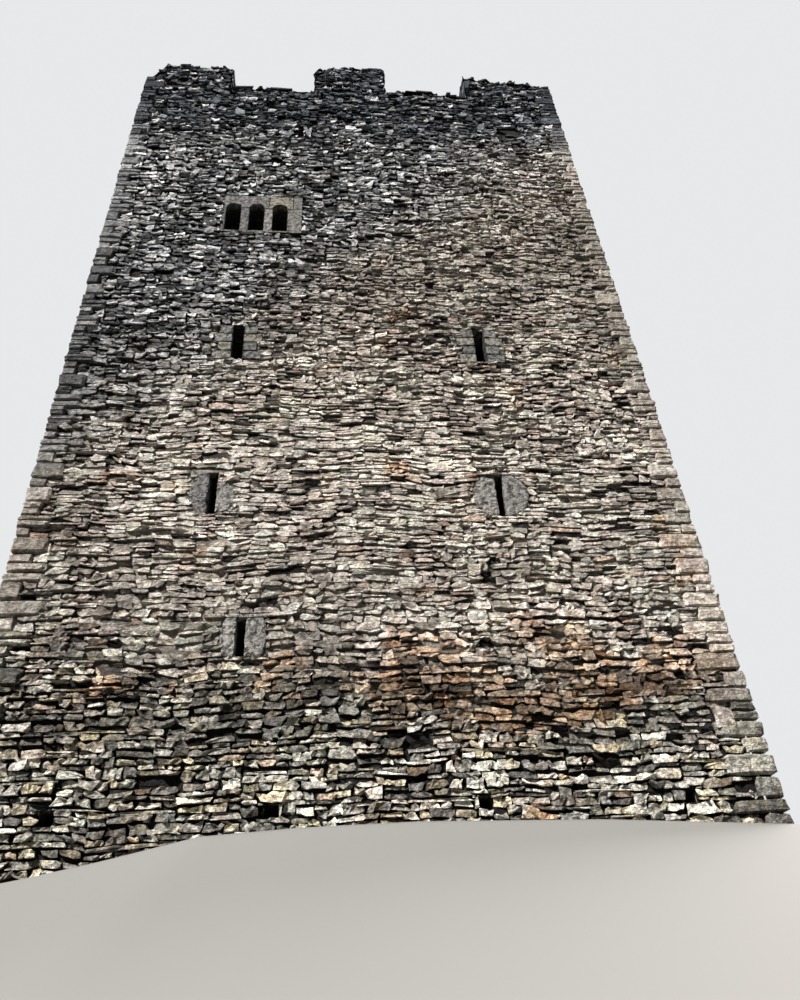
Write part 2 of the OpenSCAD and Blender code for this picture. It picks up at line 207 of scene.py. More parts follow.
def newGroup(name, numbers, results):
    # A node group that turns a place and numbers into numbers
    tree = bpy.data.node_groups.new(name, "ShaderNodeTree")
    tree.interface.new_socket("Place", in_out="INPUT", socket_type="NodeSocketVector")
    for label, value in numbers.items():
        tree.interface.new_socket(label, in_out="INPUT", socket_type="NodeSocketFloat").default_value = value
    for label in results:
        tree.interface.new_socket(label, in_out="OUTPUT", socket_type="NodeSocketFloat")
    return tree, tree.nodes.new("NodeGroupInput").outputs, tree.nodes.new("NodeGroupOutput")


def giveOut(tree, out, results):
    for label, value in results.items():
        tree.links.new(value, out.inputs[label])


def placeGroup(tree, group, **values):
    made = tree.nodes.new("ShaderNodeGroup")
    made.node_tree = group
    for name, value in values.items():
        feed(tree, made.inputs[name], value)
    return made.outputs


def newMaterial(name, roughness):
    material = bpy.data.materials.new(name)
    material.use_nodes = True
    tree = material.node_tree
    tree.nodes.clear()
    shader = tree.nodes.new("ShaderNodeBsdfPrincipled")
    tree.links.new(shader.outputs[0], tree.nodes.new("ShaderNodeOutputMaterial").inputs["Surface"])
    shader.inputs["Roughness"].default_value = roughness
    return material, tree, shader, tree.nodes.new("ShaderNodeTexCoord").outputs["Object"]


def toneOf(tree):
    # What each stone or board carries on its points
    return addNode(tree, "Attribute", attribute_name="stoneTone").outputs


def darkened(tree, colour, level):
    grey = addNode(tree, "CombineColor", {0: level, 1: level, 2: level})
    return mixOf(tree, 1.0, colour, grey.outputs[0], "MULTIPLY")


def coat(tree, shader, colour, height, strength=1.0, distance=1.0):
    bump = addNode(tree, "Bump", {"Height": height, "Strength": strength, "Distance": distance})
    tree.links.new(colour, shader.inputs["Base Color"])
    tree.links.new(bump.outputs[0], shader.inputs["Normal"])


def wear(obj, material):
    obj.data.materials.clear()
    obj.data.materials.append(material)


grainFinish = {
    "facetCells": 9.0, "facetFlat": (1.0, 1.0, 1.9), "facetTilt": 0.9,
    "grain": 26.0, "lumps": 12.0, "layers": 4.0, "layerFlat": (1.0, 1.0, 9.0),
    "crustDark": 0.25, "layerDark": 0.12, "pale": 1.15, "contrast": 2.2, "middle": 1.08, "soften": 0.7,
    "stir": (0.16, 0.16, 0.12), "crackCells": (5.5, 5.5, 16.0), "crackWidth": (0.03, 0.12), "crackDark": 0.9,
    "heights": {"crust": 0.010, "lumps": 0.11, "grain": 0.045, "layers": 0.045},  # metres
}


def buildStoneGrain():
    # Facets, thin strata, crust, pits and cracks of a stone face: a shade around 1, with the strata lines and
    # cracks painted dark as the shade in crevices, and a height in metres
    finish = grainFinish
    high = finish["heights"]
    numbers = {"Facets": 1.0, "Strata": 0.5, "Crust": 0.5, "Cracks": 0.0, "Rough": 1.0}
    tree, given, out = newGroup("stoneGrain", numbers, ("Shade", "Height"))
    place = given["Place"]
    flat = stretched(tree, place, finish["facetFlat"])
    cells = cellsOf(tree, flat, finish["facetCells"])
    away = vectorOf(tree, "SUBTRACT", flat, cells["Position"])[0]
    lean = vectorOf(tree, "SUBTRACT", cells["Color"], (0.5, 0.5, 0.5))[0]
    tilt = vectorOf(tree, "DOT_PRODUCT", away, lean)["Value"]
    facets = product(tree, tilt, product(tree, given["Facets"], finish["facetTilt"]))
    grain = noiseOf(tree, place, finish["grain"], 4.0, 0.7)
    layers = noiseOf(tree, place, finish["layers"], 5.0, 0.75, stretch=finish["layerFlat"])
    lumps = noiseOf(tree, place, finish["lumps"], 5.0, 0.7)
    crust = rangeOf(tree, lumps, 0.42, 0.54)
    stir = addNode(tree, "TexNoise", {"Vector": place, "Scale": 7.0, "Detail": 3.0}).outputs["Color"]
    stirred = vectorOf(tree, "MULTIPLY_ADD", stir, finish["stir"], place)[0]
    broken = stretched(tree, stirred, finish["crackCells"])
    edge = cellsOf(tree, broken, 1.0, "DISTANCE_TO_EDGE")["Distance"]
    opened = rangeOf(tree, noiseOf(tree, place, 5.0, 2.0, 0.5), 0.46, 0.60)
    crack = product(tree, rangeOf(tree, edge, *finish["crackWidth"], 1.0, 0.0), opened, given["Cracks"])
    piece = spreadOf(tree, partsOf(tree, cellsOf(tree, broken, 1.0)["Color"])[0], 0.72, 1.25)
    shade = slopeOf(tree, mathOf(tree, "SUBTRACT", grain, 0.5), finish["contrast"], finish["middle"])
    # Painted shade: the strata lines darken as the shade in thin crevices
    for share, tone in (
        ("Crust", spreadOf(tree, crust, finish["crustDark"], finish["pale"])),
        ("Strata", rangeOf(tree, layers, 0.38, 0.50, finish["layerDark"], finish["pale"])),
        ("Cracks", piece),
    ):
        shade = product(tree, shade, mixNumber(tree, given[share], 1.0, tone))
    shade = mathOf(tree, "POWER", mathOf(tree, "MAXIMUM", shade, 0.01), finish["soften"])
    # Painted shade: the cracks are darkened as the shade inside them
    shade = product(tree, shade, slopeOf(tree, crack, -finish["crackDark"], 1.0))
    height = slopeOf(tree, lumps, high["lumps"], product(tree, grain, high["grain"]))
    height = slopeOf(tree, crust, high["crust"], height)
    height = slopeOf(tree, height, given["Rough"], facets)
    height = mathOf(tree, "ADD", height, product(tree, layers, high["layers"], given["Strata"]))
    giveOut(tree, out, {"Shade": shade, "Height": height})
    return tree


weatherPlan = {
    "rustCentre": (2.3, -5.5, 2.65), "rustReach": (4.0, 1.0, 1.05),  # iron stains above the foot of the front
    "crust": (17.4, 19.8), "upper": (10.3, 14.4), "base": (2.1, 3.4),  # heights where the wall changes
    "broad": (0.36, 0.64, 1.02, 1.28),
}
stainsAndShade = [  # centre, reach and brightness of the broad dark and washed parts of the front; some dark parts, over the foot and along the right edge, are painted shadow
    ((-5.4, -5.5, 9.6), (1.8, 1.0, 4.6), 0.70),
    ((-0.8, -5.5, 6.8), (4.2, 1.0, 2.8), 1.26),
    ((-3.9, -5.5, 5.8), (1.1, 1.0, 1.7), 1.18),
    ((-2.0, -5.5, 3.0), (3.4, 1.0, 0.7), 0.78),
    ((0.5, -5.5, 2.15), (6.5, 1.0, 0.65), 0.62),
    ((0.6, -5.5, 1.3), (2.6, 1.0, 0.7), 1.15),
    ((-3.8, -5.5, 14.2), (2.4, 1.0, 2.9), 1.28),
    ((3.2, -5.5, 7.6), (2.2, 1.0, 3.0), 1.24),
    ((3.3, -5.5, 3.4), (2.3, 1.0, 1.0), 1.30),
    ((5.5, -5.5, 11.5), (1.7, 1.0, 4.5), 0.74),
    ((5.3, -5.5, 5.4), (1.2, 1.0, 1.2), 0.78),
]


def nearOf(tree, place, centre, reach, full, none):
    # 1 around a place, 0 out of its reach
    away = vectorOf(tree, "DIVIDE", vectorOf(tree, "SUBTRACT", place, centre)[0], reach)[0]
    return rangeOf(tree, vectorOf(tree, "LENGTH", away)["Value"], full, none, 1.0, 0.0)


def buildWeather():
    # Masks over the walls: crust under the tops, rusty and yellow patches, kinds of masonry, stains and
    # painted shadow
    plan = weatherPlan
    masks = ("Crust", "Rust", "Lichen", "Upper", "Base", "Patch", "Stain")
    tree, given, out = newGroup("wallWeather", {}, masks)
    place = given["Place"]
    across, _, high = axesOf(tree, place)
    broad = noiseOf(tree, place, 0.45, 3.0, 0.5)
    swing = mathOf(tree, "SUBTRACT", broad, 0.5)
    upper = slopeOf(tree, across, -1.0, slopeOf(tree, swing, 4.0, high))
    base = slopeOf(tree, across, 0.12, slopeOf(tree, swing, 2.0, high))
    drips = noiseOf(tree, place, 2.2, 4.0, 0.6, stretch=(1.0, 1.0, 0.25))
    near = nearOf(tree, place, plan["rustCentre"], plan["rustReach"], 0.4, 1.1)
    patch = noiseOf(tree, place, 1.6, 4.0, 0.6)
    shift = mathOf(tree, "SUBTRACT", patch, 0.5)
    ragged = vectorOf(tree, "ADD", place, addNode(tree, "CombineXYZ", {0: shift, 2: shift}).outputs[0])[0]
    stainAndShade = rangeOf(tree, broad, *plan["broad"])
    for centre, reach, bright in stainsAndShade:
        here = nearOf(tree, ragged, centre, reach, 0.3, 1.15)
        stainAndShade = product(tree, stainAndShade, slopeOf(tree, here, bright - 1.0, 1.0))
    giveOut(tree, out, {
        "Crust": rangeOf(tree, slopeOf(tree, drips, 3.0, high), *plan["crust"]),
        "Rust": rangeOf(tree, slopeOf(tree, near, 0.22, noiseOf(tree, place, 0.9, 4.0, 0.55)), 0.58, 0.72),
        "Lichen": rangeOf(tree, noiseOf(tree, place, 3.4, 4.0, 0.7), 0.52, 0.62),
        "Upper": rangeOf(tree, upper, *plan["upper"]),
        "Base": rangeOf(tree, base, *plan["base"], 1.0, 0.0),
        "Patch": patch,
        "Stain": stainAndShade,
    })
    return tree


stoneGrain = buildStoneGrain()
wallWeather = buildWeather()

rubbleFinish = {
    "base": [(0.0, (0.24, 0.238, 0.23)), (0.2, (0.42, 0.405, 0.38)), (0.4, (0.61, 0.58, 0.53)),
             (0.55, (0.76, 0.73, 0.675)), (0.7, (0.69, 0.61, 0.45)), (0.82, (0.52, 0.49, 0.45)),
             (0.92, (0.84, 0.81, 0.76)), (1.0, (0.50, 0.365, 0.27))],
    "middle": [(0.0, (0.52, 0.465, 0.41)), (0.2, (0.66, 0.62, 0.555)), (0.4, (0.80, 0.735, 0.68)),
               (0.6, (0.74, 0.65, 0.595)), (0.75, (0.86, 0.81, 0.765)), (0.9, (0.60, 0.60, 0.565)),
               (1.0, (0.62, 0.47, 0.40))],
    "upper": [(0.0, (0.15, 0.154, 0.168)), (0.2, (0.37, 0.378, 0.41)), (0.45, (0.67, 0.68, 0.71)),
              (0.7, (0.86, 0.87, 0.905)), (0.85, (0.68, 0.67, 0.665)), (1.0, (0.93, 0.945, 0.985))],
    "tints": [(0.36, (1.06, 0.99, 0.97)), (0.5, (1.0, 1.0, 1.0)), (0.64, (0.97, 1.0, 0.95))],
    "rust": (0.57, 0.33, 0.18, 1.0),
    "lichen": (0.64, 0.54, 0.30, 1.0),
    "crust": (0.29, 0.315, 0.365, 1.0),
    # Near black: the joints' own dark colour and the painted shade deep inside them
    "joint": (0.004, 0.0035, 0.003, 1.0),
    "mortar": (0.56, 0.495, 0.425, 1.0),
    "even": (0.7, 1.3), "uneven": (0.26, 1.74),  # how far single stones differ in brightness
    "jointDepth": (0.45, 0.88),  # share of a stone's depth over which the painted shade at its back turns to its face colour
}


def jointAndShadeColour(tree, weather):
    # Deep dark joints above and below, painted near black as the shade in them, tan mortar nearly flush
    # between
    middle = product(tree, restOf(tree, weather["Base"]), restOf(tree, weather["Upper"]))
    filled = product(tree, middle, rangeOf(tree, weather["Patch"], 0.40, 0.60, 0.05, 0.75))
    return mixOf(tree, filled, rubbleFinish["joint"], rubbleFinish["mortar"])


def rubbleMaterial():
    finish = rubbleFinish
    material, tree, shader, place = newMaterial("rubbleStone", 0.92)
    tone = toneOf(tree)
    hue, light, depth = partsOf(tree, tone["Color"])
    weather = placeGroup(tree, wallWeather, Place=place)
    base, upper, rust, patch = (weather[k] for k in ("Base", "Upper", "Rust", "Patch"))
    grain = placeGroup(
        tree, stoneGrain, Place=place, Facets=slopeOf(tree, base, 0.4, 0.7),
        Strata=slopeOf(tree, upper, -0.25, 0.65), Crust=slopeOf(tree, base, 0.3, 0.6),
        Cracks=product(tree, tone["Alpha"], 0.5), Rough=slopeOf(tree, base, 0.9, 1.1),
    )
    colour = mixOf(tree, base, rampOf(tree, hue, finish["middle"]), rampOf(tree, hue, finish["base"]))
    colour = mixOf(tree, upper, colour, rampOf(tree, hue, finish["upper"]))
    rusty = product(tree, rust, restOf(tree, product(tree, upper, 0.6), 0.72), spreadOf(tree, hue, 0.4, 1.3))
    colour = mixOf(tree, rusty, colour, finish["rust"])
    colour = mixOf(tree, restOf(tree, upper), colour, rampOf(tree, patch, finish["tints"]), "MULTIPLY")
    golden = product(tree, weather["Lichen"], slopeOf(tree, base, 0.30, 0.08))
    colour = mixOf(tree, golden, colour, finish["lichen"])
    crusted = product(tree, weather["Crust"], rangeOf(tree, light, 0.70, 0.90, 1.0, 0.3))
    colour = mixOf(tree, crusted, colour, finish["crust"], "MULTIPLY")
    solid = rangeOf(tree, light, 0.0, 0.05, 0.05, 1.0)  # a stone without light is a hollow, painted near black as its shade
    uneven = mathOf(tree, "MAXIMUM", mathOf(tree, "MAXIMUM", upper, product(tree, base, 0.8)), rust)
    spread = mixNumber(tree, uneven, *(spreadOf(tree, light, *finish[k], 0.05) for k in ("even", "uneven")))
    # The stain mask also carries painted shadow over the foot and along the right edge
    level = product(
        tree, solid, spread, grain["Shade"], rangeOf(tree, patch, 0.3, 0.7, 0.75, 1.15),
        product(tree, weather["Stain"], slopeOf(tree, base, 0.40, 1.0)),
    )
    colour = darkened(tree, colour, level)
    # Painted shade: each stone darkens from its front towards its back, into the joint colour, for the shade
    # deep in the joints
    turn = [slopeOf(tree, base, -0.1, share) for share in finish["jointDepth"]]
    recessShade = rangeOf(tree, depth, *turn, 1.0, 0.0)
    colour = mixOf(tree, recessShade, colour, mixOf(tree, solid, finish["joint"], jointAndShadeColour(tree, weather)))
    # No sheen on the painted shade of the recesses and hollows
    feed(tree, shader.inputs["Specular IOR Level"], product(tree, mathOf(tree, "SUBTRACT", solid, recessShade), 0.2))
    coat(tree, shader, colour, grain["Height"])
    return material


coreFinish = {
    "cells": 3.2, "flat": (1.0, 1.0, 2.6), "joint": (0.02, 0.09), "jointDepth": 0.03,
    "stones": [(0.0, (0.07, 0.06, 0.05)), (0.5, (0.16, 0.14, 0.12)), (1.0, (0.26, 0.24, 0.21))],
}


def coreMaterial():
    # Core of the walls: mortar behind the outer stones, rough coursed stone on the inner faces
    finish = coreFinish
    material, tree, shader, place = newMaterial("wallCore", 0.95)
    weather = placeGroup(tree, wallWeather, Place=place)
    grain = placeGroup(tree, stoneGrain, Place=place, Facets=0.5, Strata=0.4, Crust=0.4)
    outside = mathOf(tree, "GREATER_THAN", farthest(tree, place), wallHalf - 0.02)
    squeezed = stretched(tree, place, finish["flat"])
    edge = cellsOf(tree, squeezed, finish["cells"], "DISTANCE_TO_EDGE")["Distance"]
    picked = partsOf(tree, cellsOf(tree, squeezed, finish["cells"])["Color"])[0]
    inner = rampOf(tree, picked, finish["stones"])
    # Painted shade: the inner face's joints, and the outer face seen between the stones, take the near-black
    # joint colour as the shade in them
    gap = product(tree, rangeOf(tree, edge, *finish["joint"], 1.0, 0.0), restOf(tree, outside))
    inner = mixOf(tree, gap, inner, rubbleFinish["joint"])
    colour = darkened(tree, mixOf(tree, outside, inner, jointAndShadeColour(tree, weather)), grain["Shade"])
    coat(tree, shader, colour, slopeOf(tree, gap, -finish["jointDepth"], grain["Height"]))
    return material


rubbleStone = rubbleMaterial()
wallCore = coreMaterial()
print("materials made")

# A kit of split stones, each modelled once and laid many times


def editMode(on=True):
    bpy.ops.object.mode_set(mode="EDIT" if on else "OBJECT")


def selectAll():
    bpy.ops.mesh.select_all(action="SELECT")


def newBlock(name, size=(1, 1, 1), place=(0, 0, 0)):
    bpy.ops.mesh.primitive_cube_add(size=1.0)
    block = bpy.context.object
    block.name = name
    block.scale = size
    block.location = place
    bpy.ops.object.transform_apply(location=True, rotation=False, scale=True)
    return block


def pickFront(obj):
    # Selects the faces that look towards -Y
    editMode(False)
    for parts in (obj.data.polygons, obj.data.edges, obj.data.vertices):
        for part in parts:
            part.select = False
    for face in obj.data.polygons:
        face.select = face.normal.y < -0.9
    editMode()


def cutAway(point, normal):
    selectAll()
    bpy.ops.mesh.bisect(plane_co=point, plane_no=normal, use_fill=True, clear_outer=True)


def crease(point, normal):
    selectAll()
    bpy.ops.mesh.bisect(plane_co=point, plane_no=normal)


def toTriangles():
    bpy.ops.mesh.quads_convert_to_tris(quad_method="BEAUTY", ngon_method="BEAUTY")


kitPlan = {
    "sliver": {"aspects": (1.6, 2.8, 5.0), "variants": 9, "corners": (2, 5), "lean": (0.12, 0.5),
               "cut": (0.14, 0.40), "creases": 1, "relief": 0.24, "chips": 0, "rough": 0.05},
    "small": {"aspects": (1.1, 1.9, 3.2), "variants": 9, "corners": (1, 4), "lean": (0.3, 1.2),
              "cut": (0.08, 0.28), "creases": 1, "relief": 0.42, "chips": 0, "rough": 0.06},
    "block": {"aspects": (1.1, 1.8, 3.0), "variants": 10, "corners": (1, 4), "lean": (0.3, 1.0),
              "cut": (0.06, 0.20), "creases": 2, "relief": 0.38, "chips": 2, "rough": 0.06},
    "quoin": {"variants": 10, "edge": 0.10, "rough": 0.06, "middle": (0.04, -0.05, 0.03),
              "creases": ((1.0, 0.1, 0.1), (0.1, 1.0, -0.1), (-0.1, 0.1, 1.0))},
}
kitSeeds = {"rubble": 11, "quoin": 300}


def cutStone(name, aspect, seed, plan):
    # A block with its front towards -Y: corners split off on slants, the front broken into flat facets
    rng = np.random.default_rng(seed)
    stone = newBlock(name, (aspect, 1.0, 1.0))
    editMode()
    bpy.ops.mesh.select_mode(type="FACE")
    corners = [(-1, -1), (1, -1), (1, 1), (-1, 1)]
    for k in rng.permutation(4)[: int(rng.integers(*plan["corners"]))]:
        side, top = corners[k]
        lean = rng.uniform(*plan["lean"])
        normal = Vector((side * math.sin(lean), rng.uniform(-0.3, 0.1), top * math.cos(lean))).normalized()
        cutAway(Vector((side * aspect / 2, 0.0, top / 2)) - normal * rng.uniform(*plan["cut"]), normal)
    for _ in range(plan["creases"]):
        turn = rng.uniform(-0.6, 0.6) + (math.pi / 2 if rng.random() < 0.3 else 0.0)
        middle = (aspect * rng.uniform(-0.25, 0.25), 0, rng.uniform(-0.2, 0.2))
        crease(middle, (math.cos(turn), 0, math.sin(turn)))
    pickFront(stone)
    bpy.ops.transform.vertex_random(offset=plan["relief"], normal=0.85, seed=int(seed))
    selectAll()
    bpy.ops.transform.vertex_random(offset=plan["rough"], seed=int(seed))
    for _ in range(plan["chips"]):
        side, top = rng.choice([-1, 1], 2)
        normal = (side * rng.uniform(0.2, 1.0), -rng.uniform(0.5, 1.2), top * rng.uniform(0.2, 1.0))
        normal = Vector(normal).normalized()
        cutAway(Vector((side * aspect / 2, -0.5, top * 0.5)) - normal * rng.uniform(0.12, 0.36), normal)
    return takeStone(stone, aspect, 1.0 + 0.5 * plan["relief"])


def cutQuoin(name, seed, plan):
    # A corner block, worn on all its edges
    stone = newBlock(name)
    editMode()
    selectAll()
    bpy.ops.mesh.bevel(offset=plan["edge"], segments=1, affect="EDGES")
    for normal in plan["creases"]:
        crease(plan["middle"], normal)
    selectAll()
    bpy.ops.transform.vertex_random(offset=plan["rough"], seed=seed)
    return takeStone(stone, 1.0, 1.0)


def pointsOf(obj):
    return np.array([v.co for v in obj.data.vertices])


def facesOf(obj):
    return np.array([p.vertices for p in obj.data.polygons])


def takeStone(stone, aspect, depth):
    # Reads the edited stone as triangles in a unit box: along, up and out
    selectAll()
    toTriangles()
    bpy.ops.mesh.normals_make_consistent(inside=False)
    editMode(False)
    points, faces = pointsOf(stone), facesOf(stone)
    unit = np.stack([points[:, 0] / aspect + 0.5, points[:, 2] + 0.5, (0.5 - points[:, 1]) / depth], 1)
    bpy.data.objects.remove(stone)
    return {"points": np.clip(unit, -0.06, 1.1), "faces": faces}


def makeKit():
    kit = {}
    seed = kitSeeds["rubble"]
    for family in ("sliver", "small", "block"):
        plan = kitPlan[family]
        for size, aspect in enumerate(plan["aspects"]):
            for i in range(plan["variants"]):
                seed += 1
                kit[family, size, i] = cutStone(f"{family}{size}{i}", aspect, seed, plan)
    for i in range(kitPlan["quoin"]["variants"]):
        kit["quoin", 0, i] = cutQuoin(f"quoin{i}", kitSeeds["quoin"] + i, kitPlan["quoin"])
    return kit


stoneKit = makeKit()
print("stone kit:", {k: len(v["faces"]) for k, v in stoneKit.items() if k[2] == 0})


def kitSize(family, ratio):
    # Which of a family's three lengths suits a stone best
    if family == "quoin":
        return 0
    short, middle, long = kitPlan[family]["aspects"]
    return 0 if ratio < (short + middle) / 2 else 1 if ratio < (middle + long) / 2 else 2


# Laying: a stone is eight corners, four at its back and four at its front, with its kit family and tones

masonry = {
    "base": {"family": "block", "length": (0.18, 0.52), "thick": (0.09, 0.22), "slender": 4.5,
             "joint": (-0.010, 0.026), "bed": (0.008, 0.036), "proud": (0.034, 0.106), "tilt": 0.024,
             "jitter": (0.04, 0.018), "voids": 0.015, "flat": 0.0, "seam": 0.30, "step": (0.8, 2.2),
             "mixed": {"small": 0.10}, "band": "base"},
    "middle": {"family": "sliver", "length": (0.18, 0.62), "thick": (0.06, 0.15), "slender": 2.6,
               "joint": (-0.012, 0.012), "bed": (0.000, 0.020), "proud": (0.026, 0.062), "tilt": 0.012,
               "jitter": (0.06, 0.020), "voids": 0.06, "flat": 0.06, "seam": 0.30, "step": (0.6, 1.8),
               "mixed": {"small": 0.16, "block": 0.08}, "band": "middle"},
    "lumpy": {"family": "block", "length": (0.18, 0.50), "thick": (0.08, 0.19), "slender": 2.8,
              "joint": (-0.016, 0.012), "bed": (0.000, 0.022), "proud": (0.030, 0.085), "tilt": 0.020,
              "jitter": (0.05, 0.022), "voids": 0.04, "flat": 0.03, "seam": 0.30, "step": (0.6, 1.8),
              "mixed": {"sliver": 0.30, "small": 0.15}, "band": "middle"},
    "rubbly": {"family": "small", "length": (0.15, 0.42), "thick": (0.07, 0.17), "slender": 2.0,
               "joint": (-0.012, 0.016), "bed": (0.002, 0.026), "proud": (0.022, 0.075), "tilt": 0.018,
               "jitter": (0.05, 0.022), "voids": 0.05, "flat": 0.03, "seam": 0.22, "step": (0.5, 1.5),
               "mixed": {"sliver": 0.30, "block": 0.12}, "band": "middle"},
    "upper": {"family": "small", "length": (0.15, 0.38), "thick": (0.08, 0.19), "slender": 1.7,
              "joint": (-0.008, 0.026), "bed": (0.006, 0.036), "proud": (0.016, 0.094), "tilt": 0.024,
              "jitter": (0.05, 0.026), "voids": 0.06, "flat": 0.0, "seam": 0.16, "step": (0.5, 1.4),
              "mixed": {"sliver": 0.14, "block": 0.10}, "band": "upper"},
}
plain = {"family": "small", "slender": 1.6, "voids": 0.0, "flat": 0.0, "seam": 0.0, "mixed": {}}
masonry["caps"] = {**plain, "length": (0.28, 0.6), "thick": (0.3, 0.6), "joint": (0.004, 0.02),
                   "bed": (0.004, 0.02), "proud": (0.020, 0.055), "tilt": 0.014, "jitter": (0.03, 0.02),
                   "step": (0.6, 1.2)}
masonry["walk"] = {**plain, "length": (0.45, 0.8), "thick": (0.4, 0.8), "joint": (0.012, 0.030),
                   "bed": (0.012, 0.030), "proud": (0.010, 0.022), "tilt": 0.004, "jitter": (0.02, 0.02),
                   "step": (0.8, 1.6)}
masonry["ends"] = {**masonry["upper"], "proud": (0.010, 0.050), "jitter": (0.02, 0.012), "tilt": 0.008}
seams = {"high": (0.022, 0.048), "hollow": 0.6, "proud": (0.055, 0.085)}  # sunk gaps painted near black as their shade, or ledges between beds
laying = {
    "lap": 0.02, "shortest": 0.04, "lowest": 0.025,  # no cut nearer to an end, least length and height
    "giveWay": 0.3,  # share of a course that an opening takes before the course stops at it
    "courses": (2, 5), "lastStep": 0.35,  # courses in a band, least length of its last stretch
    "calm": (0.9, 0.8, 0.5),  # way from a corner, over which courses start to wander, and beside an opening
    "share": 0.16,  # most of a stone that a joint or its jitter takes
}
# Top of the base masonry, along the front
frontFoot = [(-5.5, 2.45), (-4.3, 2.6), (-0.2, 3.0), (1.5, 2.3), (3.1, 1.75), (5.5, 1.65)]
footWave = (0.12, 2.9)
kindTops = {  # top of each kind, its rise along the front, and the size, pace and start of its wave
    "lumpy": (4.6, 0.0, 0.5, 1.1, 0.0),
    "middle": (7.4, 0.0, 0.8, 0.7, 2.0),
    "rubbly": (11.2, 0.5, 0.6, 0.8, 1.0),
}


def styleAt(u, v):
    if v < np.interp(u, *zip(*frontFoot)) + footWave[0] * math.sin(footWave[1] * u):
        return masonry["base"]
    for kind, (top, rise, size, pace, start) in kindTops.items():
        if v < top + rise * u + size * math.sin(pace * u + start):
            return masonry[kind]
    return masonry["upper"]


def splitCell(rng, cell, style, out, coarse=1.0):
    # Splits a stretch of wall across or along, by turns of chance, until it is down to a stone
    u0, u1, v0, v1 = cell
    wide, high = u1 - u0, v1 - v0
    shortest, thinnest = style["length"][0] * coarse, style["thick"][0] * coarse
    length, thick = rng.uniform(*style["length"]) * coarse, rng.uniform(*style["thick"]) * coarse
    slender = style["slender"] * rng.uniform(0.55, 1.5)
    share = rng.uniform(0.34, 0.66)
    isThin = high < 2.2 * thinnest and wide < 1.6 * style["length"][1]
    if style["flat"] and isThin and rng.random() < style["flat"]:
        out.append((u0, u1, v0, v1, {**style, "proud": (0.004, 0.020)}))
        return
    tooHigh, tooWide = high > thick and high > 1.7 * thinnest, wide > length and wide > 1.8 * shortest
    if tooHigh and (wide < slender * high or not tooWide):
        cut, seam = v0 + high * share, 0.0
        if rng.random() < style["seam"] and wide < 1.2:
            seam = rng.uniform(*seams["high"])
            hollow = rng.random() < seams["hollow"]
            proud = (0.002, 0.006) if hollow else seams["proud"]
            thin = {"proud": proud, "tilt": 0.002, "jitter": (0.03, 0.006), "empty": hollow, "voids": 0.0}
            out.append((u0, u1, cut, cut + seam, {**style, **thin}))
        splitCell(rng, (u0, u1, v0, cut), style, out, coarse)
        splitCell(rng, (u0, u1, cut + seam, v1), style, out, coarse)
    elif tooWide:
        cut = u0 + wide * share
        splitCell(rng, (u0, cut, v0, v1), style, out, coarse)
        splitCell(rng, (cut, u1, v0, v1), style, out, coarse)
    else:
        other = [k for k, share in style["mixed"].items() if rng.random() < share]
        lump = {"family": other[0], "proud": (0.035, 0.098)} if other else {}
        out.append((u0, u1, v0, v1, {**style, **lump}))


def freeSpans(left, right, v0, v1, holes):
    # The stretches of a course that no opening or dressed stone takes
    spans = [(left, right)]
    spare = laying["giveWay"] * (v1 - v0)
    for hole in holes:
        if right < hole["left"] or left > hole["right"]:
            continue
        if v1 <= hole["low"] + spare or v0 >= hole["high"] - spare:
            continue
        a, b = hole["reach"]((v0 + v1) / 2)
        parts = [part for s, e in spans for part in ((s, min(e, a)), (max(s, b), e))]
        spans = [part for part in parts if part[1] - part[0] > laying["shortest"]]
    return spans


def layBands(rng, levels, leftEdge, rightEdge, coarse, style):
    # Bands of some courses, broken up in stretches; single stones fill up to the corner blocks
    cells = []
    k = 0
    while k < len(levels) - 1:
        last = min(k + int(rng.integers(*laying["courses"])), len(levels) - 1)
        start, end = max(leftEdge(i) for i in range(k, last)), min(rightEdge(i) for i in range(k, last))
        for i in range(k, last):
            for a, b in ((leftEdge(i), start), (end, rightEdge(i))):
                if b - a > laying["lap"]:
                    chosen = style or styleAt((a + b) / 2, levels[i])
                    splitCell(rng, (a, b, levels[i], levels[i + 1]), chosen, cells, coarse)
        v0, v1 = levels[k], levels[last]
        u = start
        while u < end - 1e-6:
            chosen = style or styleAt(u + 0.5, (v0 + v1) / 2)
            step = rng.uniform(*chosen["step"]) * coarse
            if end - (u + step) < laying["lastStep"]:
                step = end - u
            splitCell(rng, (u, u + step, v0, v1), chosen, cells, coarse)
            u += step
        k = last
    return cells


def layWall(rng, levels, leftEdge, rightEdge, holes, top=None, coarse=1.0, style=None):
    # Cells of stones, cut at openings and at the worn top
    cells = layBands(rng, levels, leftEdge, rightEdge, coarse, style)
    kept = []
    if top:
        cells = [part for cell in cells for part in cutAcross(cell, crenelEnds)]
    for u0, u1, v0, v1, chosen in cells:
        if top:
            tops = top(np.array([u0 + 0.02, (u0 + u1) / 2, u1 - 0.02]))
            v1 = min(v1, tops.max())
            if v1 - v0 < 0.035 or tops[1] - v0 < 0.03:
                continue
        for low, high in clipHeights(u0, u1, v0, v1, holes):
            kept += [(s, e, low, high, chosen) for s, e in freeSpans(u0, u1, low, high, holes)]
    return kept


def cutAcross(cell, ends):
    # Above the sills no stone runs past the end of a merlon
    u0, u1, v0, v1, style = cell
    if v1 < crenelLevel - 0.2:
        return [cell]
    places = [u0, *[e for e in ends if u0 + laying["lap"] < e < u1 - laying["lap"]], u1]
    return [(a, b, v0, v1, style) for a, b in zip(places, places[1:])]


def cutAt(start, end, edge):
    if start + laying["lap"] < edge < end - laying["lap"]:
        return [(start, edge), (edge, end)]
    return [(start, end)]


